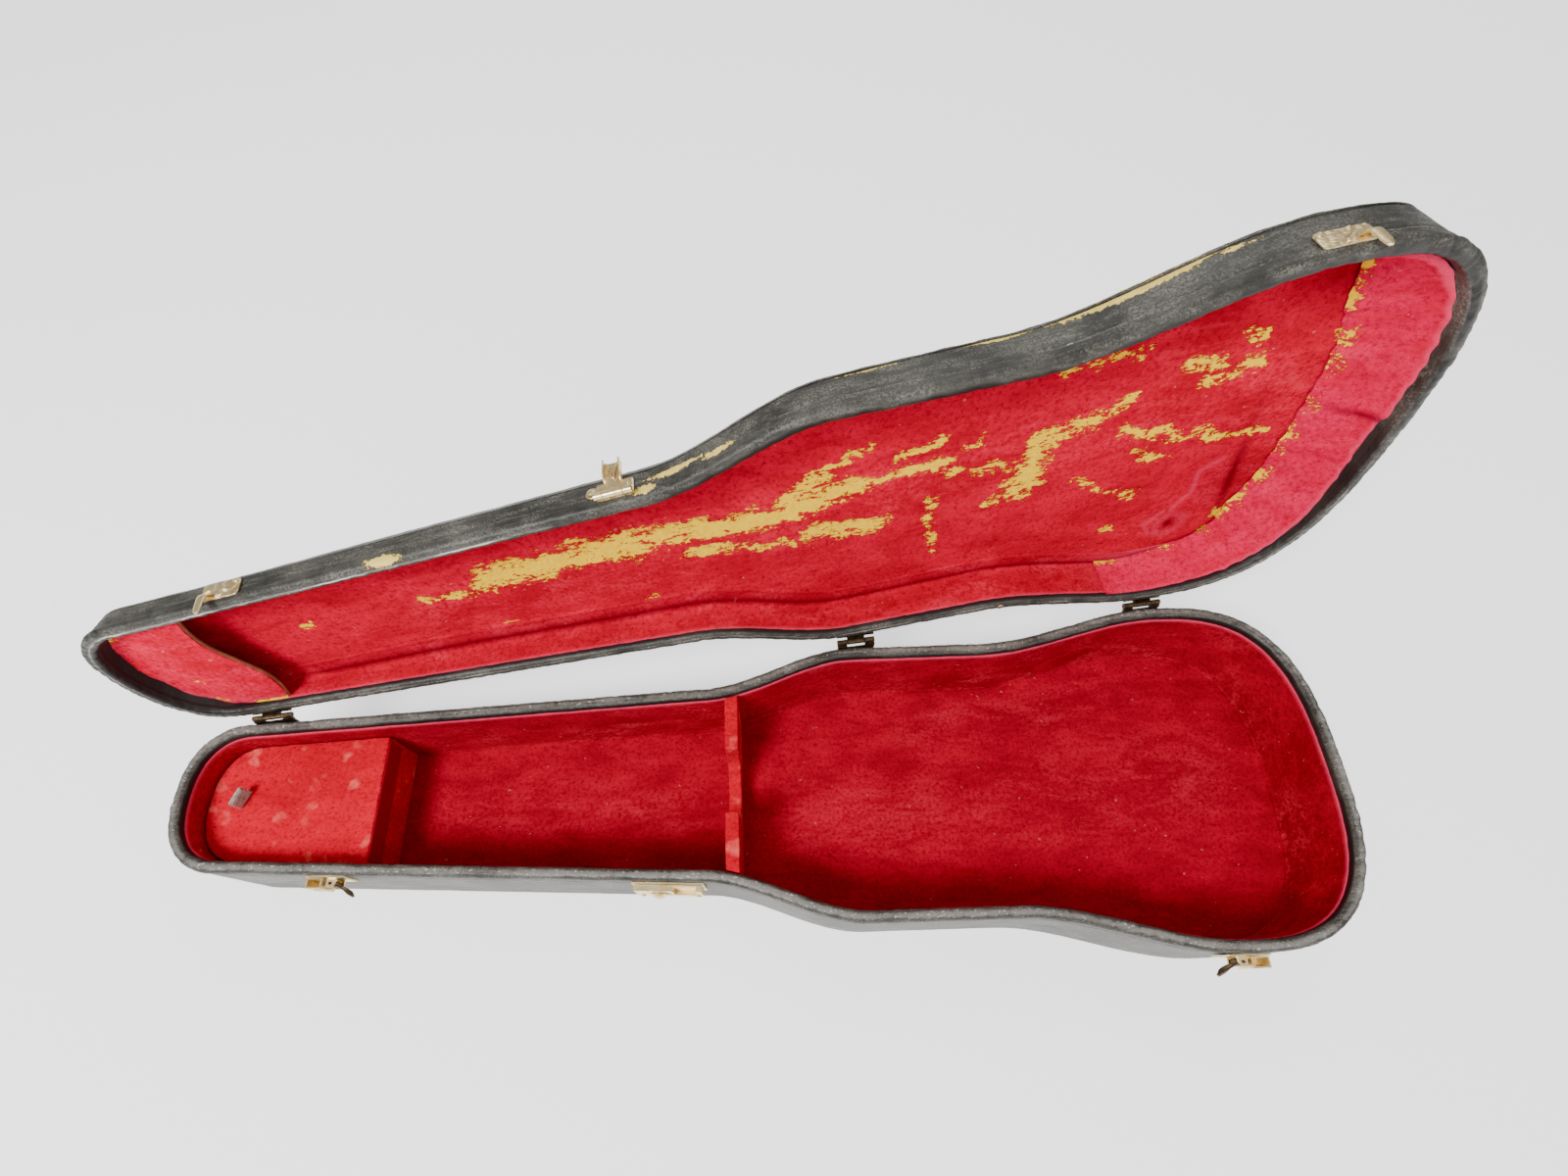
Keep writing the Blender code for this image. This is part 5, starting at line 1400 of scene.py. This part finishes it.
def make_lock_fittings():
    """The lock's turned knob, and the hasp's plate and arm, which is flipped up against the lid."""
    place = front_frame(LOCK_STATION, *LOCK_REACH)
    knob_place = place @ Matrix.Translation((-16.5 * MM, 0, -15 * MM))
    profile = [
        (0, 3.0), (1.75, 3.0), (1.8, 5.8), (4.6, 5.9), (5.3, 6.1), (5.45, 6.5), (5.2, 6.9), (4.5, 7.6),
        (3.4, 8.4), (2.0, 8.95), (0.9, 9.1), (0, 9.12),
    ]
    knob = turned(profile, (0, 0, 0), (0, -1, 0), 64)
    metal_piece(
        "lock_turned_knob", [knob], knob_place, "knob", GOLD_BRASS, ["lock_knob"], sharp=50
    )
    barrel_place = place @ Matrix.Translation((0, -4.4 * MM, 4.8 * MM))
    metal_piece(
        "hasp_pressed_plate", hasp_plate_parts(), barrel_place, "lid", BRASS,
        ["hasp_plate"], LID_TURN,
    )
    flipped_up = Matrix.Rotation(math.radians(-HASP_TURN), 4, "X")
    swing = LID_TURN @ barrel_place @ flipped_up @ barrel_place.inverted()
    metal_piece(
        "hasp_folded_arm", hasp_arm_parts(), barrel_place, "hasp", BRASS, ["lock_hasp"], swing
    )


def barrel_part(start, end, count, thickness):
    """A rolled knuckle along the hasp's pin."""
    run = smooth_path([(start, 0, 0), ((start + end) / 2, 0, 0), (end, 0, 0)], count)
    return sweep(run, (0, 1, 0), thickness * MM, thickness * MM, 2, around=28)


def hasp_plate_parts():
    """The hasp's plate with its two ears, and a knuckle and the fold behind it at each end."""

    def plate_relief(x, z):
        crease = hump(z, 6.4 + 0.5 * np.sin(x * 0.7), 0.5) * 0.25
        return 0.14 * dents(x, z, 41) + crease

    plate = relief_plate((-10, 10, 0.6, 12), 1.2, -4.1, 0.9, plate_relief)
    ear = relief_plate((-15.8, -8.5, 3.6, 10.8), 3.4, -4.1, 0.85, lambda x, z: 0.1 * dents(x, z, 42))
    parts = [plate, ear]
    fold = smooth_path([(0, 3.6, 2.6), (0, 2.9, 1.4), (0, 2.0, 0.4)], 8)
    for start, end in ((-10, -5.5), (5.5, 10)):
        leaf = sweep(fold, (1, 0, 0), (end - start) * MM, 0.9 * MM, 6)
        parts += [barrel_part(start, end, 8, 3.8), moved(leaf, (start + end) / 2 * MM)]
    return parts


def hasp_arm_parts():
    """The T-shaped arm, modelled hanging down: knuckle, strap, and a lip and a crease on each side."""
    corners = ((-1.5, -0.6), (-2.1, -2.4), (-2.1, -8), (-2.2, -14), (-2.0, -19), (-2.3, -23.2))
    route = smooth_path([(0, y, z) for y, z in corners], 44)
    down = -route[:, 2] / MM
    widths = np.where(down < 2.6, 10.2, np.where(down < 8.8, 15.6, 9.4))
    widths = np.convolve(np.pad(widths, 2, "edge"), np.ones(5) / 5, "valid") * MM
    parts = [barrel_part(-5.1, 5.1, 10, 3.9), sweep(route, (1, 0, 0), widths, 1.1 * MM, 6, 0.25 * MM, 32)]
    for side in (-1, 1):
        lip = ((4.2, -1.9, -9.6), (4.4, -0.4, -12), (4.3, 0.1, -17), (4.1, 0.0, -23))
        crease = ((3.2, -1.2, -22.8), (1.6, -0.7, -17), (0.4, -1.1, -11.5))
        lip, crease = ([(side * x, y, z) for x, y, z in spots] for spots in (lip, crease))
        parts.append(sweep(smooth_path(lip, 24), (0, 1, 0), 3.0 * MM, 0.95 * MM, 5, 0.15 * MM * side))
        parts.append(sweep(smooth_path(crease, 16), (0, 1, 0), 0.9 * MM, 0.8 * MM, 3))
    return parts


def hinge_frame(station):
    """At the hinge line beside the back wall: X along the line, Z up."""
    hip = HINGES[-1][1]
    slope = (wall_width(hip) - NECK_HALF_WIDTH) / (hip - NECK_END_LENGTH)
    across = NECK_HALF_WIDTH + 2.8 * MM + slope * (station - NECK_END_LENGTH)
    spot = (station - CASE_LENGTH / 2, across, BASE_DEPTH + 0.6 * MM)
    return Matrix.Translation(spot) @ Matrix.Rotation(math.atan(slope), 4, "Z")


def make_hinge_nails():
    """Two small nails in each hinge leaf."""
    profile = [(0, -0.4), (1.3, -0.35), (1.35, 0.05), (1.05, 0.4), (0.5, 0.58), (0, 0.6)]
    for name, station in HINGES:
        place = hinge_frame(station)
        into = place.inverted()
        steps = station + np.linspace(-13, 13, 13) * MM
        walls = [into @ Vector((s - CASE_LENGTH / 2, wall_width(s), BASE_DEPTH)) for s in steps]
        face = max(w.y for w in walls) + 1.3 * MM
        for leaf, side, body, turn in (("base", -1, "base", STILL), ("lid", 1, "lid", LID_TURN)):
            spots = [(along * MM, face, side * 9.5 * MM) for along in (-9.5, 9.5)]
            heads = [turned(profile, spot, (0, 1, 0), 24) for spot in spots]
            piece = f"{name}_hinge_{leaf}_nails"
            metal_piece(piece, heads, place, body, AGED_BRASS, turn=turn)


# The handle, in mm: how far its bail reaches from its axis, and half the grip's length.
BAIL_REACH = 32
GRIP_HALF = 36.8


def make_handle():
    """A bent rod bail, and a stitched leather grip swelling in its middle."""
    swing = joint("handle_swing")
    axis = Vector(swing["axis"])
    out = axis.cross(Vector((0, 0, -1))).normalized()
    down = out.cross(axis).normalized()
    if down.z > 0:
        down = -down
    turned_down = Matrix((axis, down, axis.cross(down))).transposed().to_4x4()
    place = Matrix.Translation(Vector(swing["pos_m"])) @ turned_down
    half = [(-53.6, 0), (-49, 0), (-45.2, 0.7), (-43.1, 3.4), (-43, 8), (-43, 20), (-43, 26), (-42, 30.2)]
    half += [(-38.6, BAIL_REACH), (-34, BAIL_REACH), (0, BAIL_REACH)]
    corners = [(x, y, 0) for x, y in half + [(-x, y) for x, y in half[-2::-1]]]
    bail = sweep(smooth_path(corners, 150), (0, 0, 1), 4 * MM, 4 * MM, 2, around=20)
    metal_piece("handle_bent_bail", [bail], place, "handle", STEEL, ["handle_bail"])
    run = np.linspace(-GRIP_HALF, GRIP_HALF, 170)
    radius = grip_radius(run)
    metal_piece(
        "handle_leather_grip", [grip_surface(run, radius)], place, "handle", GRIP_LEATHER,
        ["handle_grip"], sharp=60,
    )
    stitches = grip_stitches(run, radius)
    metal_piece("handle_grip_stitches", stitches, place, "handle", THREAD)


def grip_radius(run):
    """The grip's radius along it, in mm: swelling in the middle, with a rolled rim at each end."""
    share = np.abs(run) / GRIP_HALF
    radius = 4.3 + 2.2 * np.sqrt(np.clip(1 - share**2.2, 0, 1))
    radius += 0.35 * hump(np.abs(run), 34.6, 1.0) - 0.3 * hump(np.abs(run), 32.6, 0.7)
    radius[[0, -1]] -= 0.9
    return radius


def grip_surface(run, radius, around=84):
    """The grip's creased leather with a seam along its outer side, and its bore for the rod."""
    turn = np.linspace(0, 2 * math.pi, around, endpoint=False)
    grid_x, grid_t = np.meshgrid(run, turn, indexing="ij")
    mean = paired(np.cos(grid_t) * 6 * MM, np.sin(grid_t) * 6 * MM)
    flat = np.concatenate([grid_x[..., None] * MM, mean], -1)
    grid_r = radius[:, None] + 0.18 * waves(flat, 7 * MM, seed=101)
    grid_r = grid_r + 0.12 * waves(flat * np.array([3.0, 1, 1]), 4 * MM, seed=102)
    seam = np.abs((grid_t - math.pi / 2 + math.pi) % (2 * math.pi) - math.pi) * 6
    grid_r = grid_r - 0.5 * hump(seam, 0, 0.35) + 0.25 * hump(seam, 1.3, 0.8)
    grid_r = np.minimum(grid_r, 6.55)

    def spots(x, angle, away):
        y, z = BAIL_REACH + np.cos(angle) * away, np.sin(angle) * away
        return (np.stack([x + 0 * angle, y, z], -1) * MM).reshape(-1, 3)

    bore = [spots(x, turn, 2.35) for x in (GRIP_HALF - 0.2, 0.2 - GRIP_HALF)]
    points = np.concatenate([spots(grid_x, grid_t, grid_r), *bore])
    return points, grid_faces(len(run) + len(bore), around, True, True)


def grip_stitches(run, radius):
    """Two rows of stitches beside the grip's seam."""
    stitches = []
    for n in range(15):
        x = -28 + 4 * n
        top = float(radius[int(np.argmin(np.abs(run - x)))]) + 0.05
        for side in (-1, 1):
            y = BAIL_REACH + side * 1.1
            arch = ((-1.3, 0.5), (-0.6, 0), (0.6, 0), (1.3, 0.5))
            corners = [(x + along, y, top - sunk) for along, sunk in arch]
            stitches.append(sweep(smooth_path(corners, 8), (0, 1, 0), 0.45 * MM, 0.35 * MM, 2, around=8))
    return stitches


def make_eyelet():
    """The rolled brass eyelet that a bow's ribbon is tied to."""
    place = front_frame(EYELET_STATION) @ Matrix.Translation((0, 8.6 * MM, 12.2 * MM))
    profile = [(1.75, -0.2), (1.7, 0.6), (1.9, 1.25), (2.4, 1.45), (3.1, 1.25), (3.6, 0.7), (3.7, 0.2)]
    eyelet = turned(profile + [(3.6, -0.1)], (0, 0, 0), (0, 1, 0), 48, ring=True)
    metal_piece(
        "bow_rolled_eyelet", [eyelet], place, "lid", AGED_BRASS, ["bow_eyelet"], LID_TURN
    )


# --- pocket, pull tab and loose cloth ---------------------------------------------------------------


def pocket_loop(inset, edge_back):
    """The pocket board's outline round the neck end, and its wavy free edge, matched point to point."""
    rim = EDGE - NORMAL * inset
    edge_at = POCKET_STATION - CASE_LENGTH / 2 - edge_back
    edge = wavy_edge(edge_at, wall_width(POCKET_STATION) - inset - 0.4 * MM)
    near = rim[:, 0] < np.minimum(edge_at + 5.2 * MM, np.interp(rim[:, 1], *edge))
    order = np.roll(np.arange(COUNT), COUNT // 2)
    kept = order[near[order]]
    kept = kept[np.argsort(np.arctan2(rim[kept, 1], edge_at - rim[kept, 0] + 30 * MM))]
    start = rim[kept]
    across = np.linspace(start[0, 1], start[-1, 1], len(kept))
    return start, paired(np.interp(across, *edge), across)


def wavy_edge(at, width):
    across = np.linspace(-width, width, 60)
    return across, at + 5 * MM * np.sin(math.pi * across / width)


def pocket_depth(station):
    """The board dips towards the neck tip."""
    return 5.5 * MM + 6.0 * MM * ease((58 * MM - station) / (46 * MM))


POCKET_WEAR = (
    (3.2, 0.9, (52, 42), (62, 42.5), (73, 42)),
    (2.5, 0.75, (28, 35), (36, 38)),
    (3, 0.7, (18, -32), (26, -35)),
    (2.5, 0.6, (34, 12), (37, 14)),
)
POCKET_EDGE = ((5, 1.0, (14, 24), (30, 36), (60, 41), (72, 42)),)


def pocket_sheet(name, inset, edge_back, lift, thickness, rows, relief, slot, material, nodes):
    """A sheet that fills the lid's neck end, from its rim back to the wavy edge."""
    start, end = pocket_loop(inset, edge_back)
    flat = start[None] + (end - start)[None] * np.linspace(0, 1, rows)[:, None, None]
    stations = flat[..., 0] + CASE_LENGTH / 2
    bump = relief(paired(stations, flat[..., 1]))
    bump[0] = 0
    level = lid_level(pocket_depth(stations) - lift)
    top = np.concatenate([flat, (level - bump)[..., None]], 2)
    under = np.concatenate([flat, (level + thickness)[..., None]], 2)[::-1]
    lip = top[-1:].copy()
    lip[..., 0] += 0.3 * MM
    lip[..., 2] += thickness / 2
    tip = top[:1].copy()
    tip[..., 2] += thickness / 2
    points = np.concatenate([top, lip, under, tip])
    where, away = points[..., 0] + CASE_LENGTH / 2, points[..., 1]
    fields = felt_fields(
        where.shape,
        bare=stroke_field(where, away, POCKET_WEAR),
        thin=0.75 + 0.2 * waves(points, 16 * MM, seed=111),
        edge=0.5 * stroke_field(where, away, POCKET_EDGE),
    )
    faces = grid_faces(len(points), len(start), True, False)
    return LID.add(name, points, faces, slot, material, nodes, fields, True, 60)


def make_pocket():
    """The card board that hides the bows' tips, and the felt on it."""

    def card_relief(flat):
        return 0.12 * MM * waves(flat, 15 * MM, seed=112)

    def felt_relief(flat):
        return 0.35 * MM * waves(flat, 22 * MM, seed=113) + 0.15 * MM * waves(flat, 6 * MM, seed=114)

    pocket_sheet(
        "lid_pocket_card", 8.6 * MM, 0, 0, 1.7 * MM, 14, card_relief,
        "brown_card", CARD, ["lid_pocket_board"],
    )
    return pocket_sheet(
        "lid_pocket_felt", 8.3 * MM, 0.9 * MM, 1.0 * MM, 0.9 * MM, 60, felt_relief,
        "red_felt", BRIGHT_RED, (),
    )


def make_pull_tab():
    """A folded loop of ribbon standing up from the small lid."""
    place = Matrix.Translation((PULL_TAB_STATION - CASE_LENGTH / 2, 2 * MM, 50 * MM))
    place = place @ Matrix.Rotation(math.radians(-20), 4, "Z")
    corners = [(-1.3, 0, 0.35), (-1.7, 0, 2.5), (-1.9, 0, 6), (-1.3, 0, 9.4), (0, 0, 10.7), (1.2, 0, 9.2)]
    corners += [(1.5, 0, 6), (1.0, 0, 2.5), (0.8, 0, 0.35)]
    share = np.linspace(0, 1, 70)
    widths = (11.6 + 0.5 * np.sin(share * 9) + 0.25 * np.sin(share * 41)) * MM
    strands = [sweep(smooth_path(corners, len(share)), (0, 1, 0), widths, 0.75 * MM, 6, 0.0, 36)]
    own = np.random.default_rng(5)
    for _ in range(26):
        side = own.choice([-1, 1])
        at = own.uniform(1, 10)
        x = own.choice([-1.7, 1.3]) * (1 - (at / 12) ** 4)
        end = (x + own.uniform(-0.5, 0.5), side * own.uniform(6.4, 7.4), at + own.uniform(-0.8, 0.9))
        thread = smooth_path([(x, side * 5.3, at), (x, side * 6.1, at + own.uniform(-0.3, 0.3)), end], 6)
        strands.append(sweep(thread, (0, 0, 1), 0.22 * MM, 0.22 * MM, 2, around=6))
    return metal_piece(
        "accessory_ribbon_tab", strands, place, "accessory_lid", RIBBON,
        ["accessory_pull_tab"], sharp=60,
    )


def make_end_strip():
    """The separate felt strip round the tail end of the lid, pulled away from the wall near its front end.

    Share is how far a point is round the strip, from its front end, and shares how far down it is.
    """
    order = np.flatnonzero(STATION > np.where(FRONT, 684 * MM, 628 * MM))
    count = len(order)
    run = np.cumsum(np.concatenate([[0], np.linalg.norm(np.diff(EDGE[order], axis=0), axis=1)]))
    share = run / run[-1]
    shares = np.linspace(0, 1, 34)
    from_top = shares[:, None]
    side = ease(share / 0.11) * ease((1 - share) / 0.30)
    jag = 0.5 + 0.5 * line_waves(run, 9 * MM, 121)
    past_seam = ease((share - 0.40) / 0.015)
    top = lid_drop(0, 1)[order] * (0.55 + 0.45 * side) - 1.0 * MM - 1.2 * MM * jag * side
    top -= 2.2 * MM * side * (1 - past_seam)
    foot_depth = (31.5 + 1.0 * side) * MM
    foot_inset = FELT_INSET + (2.0 + 13.5 * side + 1.6 * jag * side) * MM
    depth = top[None] + (foot_depth - top)[None] * from_top
    inset = FELT_INSET + (foot_inset - FELT_INSET)[None] * (from_top**1.7)
    flat = paired(run[None] + 0 * depth, depth)
    puff = 0.8 * MM + 0.45 * MM * waves(flat, 20 * MM, seed=122)
    puff += 0.18 * MM * waves(flat, 5.5 * MM, seed=123)
    puff += 3.2 * MM * (hump(share, 0.09, 0.09)[None] * (1 - from_top) ** 2)
    seam = hump(share, 0.408, 0.006)[None] * np.clip(1.3 - from_top, 0, 1)
    puff -= 0.6 * MM * seam
    puff *= np.minimum(1, np.minimum(shares, 1 - shares)[:, None] * 14 + 0.35)
    front = inset + puff
    back = np.maximum(front - 1.3 * MM, inset - 0.1 * MM)

    def on_lid(insets, depths):
        whole = np.zeros((2, len(insets), COUNT))
        whole[:, :, order] = insets, depths
        return LID.points(*whole)[:, order]

    points = np.concatenate([on_lid(front, depth), on_lid(back, depth)[::-1]])
    rows = len(points)
    faces = list(grid_faces(rows, count, True, False))
    for column in (0, count - 1):
        for n in range(len(shares) - 1):
            corners = (n, n + 1, rows - 2 - n, rows - 1 - n)
            faces.append([row * count + column for row in corners])
    where = paired(points[..., 0] + CASE_LENGTH / 2, points[..., 1])
    both = np.concatenate([from_top + 0 * depth, from_top[::-1] + 0 * depth])
    lip = hump(both, 0.0, 0.05) * 0.9 * side[None]
    tear = hump(both, 1.0, 0.10) * (0.5 + 0.6 * waves(where, 24 * MM, seed=124))
    fields = {
        "edge": np.clip(lip, 0, 1),
        "bare": np.clip(tear, 0, 1),
        "thin": np.clip(0.55 + 0.35 * waves(points, 30 * MM, seed=125), 0, 1),
        # Painted shade in the strip's crease.
        "dark": 0.8 * np.concatenate([seam, seam[::-1]]),
    }
    return LID.add("lid_end_felt_strip", points, np.array(faces), "red_felt", PINK_RED, (), fields, sharp=60)


def ease_edges(node, name, width, segments):
    bevel = node.modifiers.new(name, "BEVEL")
    bevel.width = width
    bevel.segments = segments
    bevel.limit_method = "ANGLE"
    bevel.angle_limit = math.radians(35)


def felt_wrap(name):
    """A CAD board that stays, with its edges rounded and its surface softened like stretched felt."""
    node = frame["nodes"][name]
    node.data.materials.clear()
    node.data.materials.append(BOARD_RED)
    ease_edges(node, "rounded", 1.2 * MM, 3)
    fine = node.modifiers.new("fine", "REMESH")
    fine.mode = "VOXEL"
    fine.voxel_size = 0.9 * MM
    fine.use_smooth_shade = True
    for size, strength in ((9 * MM, 0.56 * MM), (2.4 * MM, 0.24 * MM)):
        clouds = bpy.data.textures.new(f"{name}_nap", "CLOUDS")
        clouds.noise_scale = size
        clouds.noise_depth = 2
        nap = node.modifiers.new("nap", "DISPLACE")
        nap.texture = clouds
        nap.texture_coords = "LOCAL"
        nap.strength = strength
        nap.mid_level = 0.62


# --- camera, light and floor ------------------------------------------------------------------------


def make_stage():
    """A pale floor under the case, a white world and three soft lamps."""
    floor_mesh = bpy.data.meshes.new("floor")
    reach, sunk = 6.0, -0.4 * MM
    corners = [(-reach, -reach, sunk), (reach, -reach, sunk), (reach, reach, sunk), (-reach, reach, sunk)]
    floor_mesh.from_pydata(corners, [], [(0, 1, 2, 3)])
    floor = bpy.data.objects.new("floor", floor_mesh)
    bpy.context.scene.collection.objects.link(floor)
    s = Shader("pale_floor", roughness=0.9, specular=0.1)
    tone = s.mix(s.noise(s.object_place(), 1.2, 2), (0.95, 0.95, 0.95), (0.97, 0.97, 0.965))
    s.surface.inputs["Emission Color"].default_value = (1, 1, 1, 1)
    s.surface.inputs["Emission Strength"].default_value = 0.9
    floor_mesh.materials.append(s.finish(tone))

    world = bpy.data.worlds.new("studio")
    bpy.context.scene.world = world
    world.use_nodes = True
    world.node_tree.nodes["Background"].inputs["Color"].default_value = (1, 1, 1, 1)
    world.node_tree.nodes["Background"].inputs["Strength"].default_value = 0.42
    lit_spot = Vector((0, 0.05, 0.1))
    for name, spot, power, size in (
        ("key", (-1.0, -1.1, 2.0), 78, 0.8),
        ("fill", (1.6, -0.9, 1.5), 12, 1.6),
        ("back", (0.2, 1.8, 1.9), 14, 1.6),
    ):
        light = bpy.data.lights.new(name, "AREA")
        light.energy = power
        light.size = size
        lamp = bpy.data.objects.new(name, light)
        lamp.location = spot
        lamp.rotation_mode = "QUATERNION"
        lamp.rotation_quaternion = (lit_spot - Vector(spot)).to_track_quat("-Z", "Y")
        bpy.context.scene.collection.objects.link(lamp)


def make_camera():
    """The viewpoint: above the case, looking steeply down, wide angle."""
    place = Vector((0.0130, -0.1305, 0.4961))
    yaw, pitch, roll = (math.radians(a) for a in (-1.294, 67.705, -3.143))
    forward = Vector((math.sin(yaw) * math.cos(pitch), math.cos(yaw) * math.cos(pitch), -math.sin(pitch)))
    level = Vector((math.cos(yaw), -math.sin(yaw), 0))
    upright = level.cross(forward)
    right = level * math.cos(roll) + upright * math.sin(roll)
    up = upright * math.cos(roll) - level * math.sin(roll)
    data = bpy.data.cameras.new("camera")
    data.sensor_width = 36
    data.lens = 15.73
    data.shift_x = 0.0121
    data.shift_y = 0.0803
    data.clip_start = 0.01
    camera = bpy.data.objects.new("camera", data)
    turn = Matrix((right, up, -forward)).transposed().to_4x4()
    camera.matrix_world = Matrix.Translation(place) @ turn
    bpy.context.scene.collection.objects.link(camera)
    bpy.context.scene.camera = camera


def dress_cad_nodes():
    """The CAD nodes that stay: their finish, and eased edges."""
    finishes = {
        "worn_brass": BRASS,
        "dark_steel": STEEL,
        "brown_leather": GRIP_LEATHER,
        # The remaining CAD felt pieces get the base's darker felt, with its painted shade.
        "red_felt": SHADED_BASE_RED,
        "brown_card": CARD,
        "wood": POPLAR,
        "leathercloth": CLOTH,
    }
    slots = {row["node"]: row["material_slot"] for row in frame["record"]["subparts"]}
    felted = ("neck_partition", "accessory_partition", "accessory_lid")
    for name in felted:
        felt_wrap(name)
    for name, node in frame["nodes"].items():
        if node.hide_render or name in felted:
            continue
        aged = "hinge" in name and slots[name] == "worn_brass"
        node.data.materials.clear()
        node.data.materials.append(AGED_BRASS if aged else finishes[slots[name]])
        ease_edges(node, "eased_edges", 0.22 * MM, 2)


make_camera()
make_stage()
make_base_shell()
make_lid_shell()
floor_felt, base_wall_strip = make_base_felt()
panel_piece, lid_wall_strip = make_lid_felt()
end_strip = make_end_strip()
pocket_felt = make_pocket()
pull_tab = make_pull_tab()
for latch in LATCHES:
    make_catch(*latch)
for latch in LATCHES:
    make_lever(*latch)
make_lock_fittings()
make_hinge_nails()
make_handle()
make_eyelet()
dress_cad_nodes()
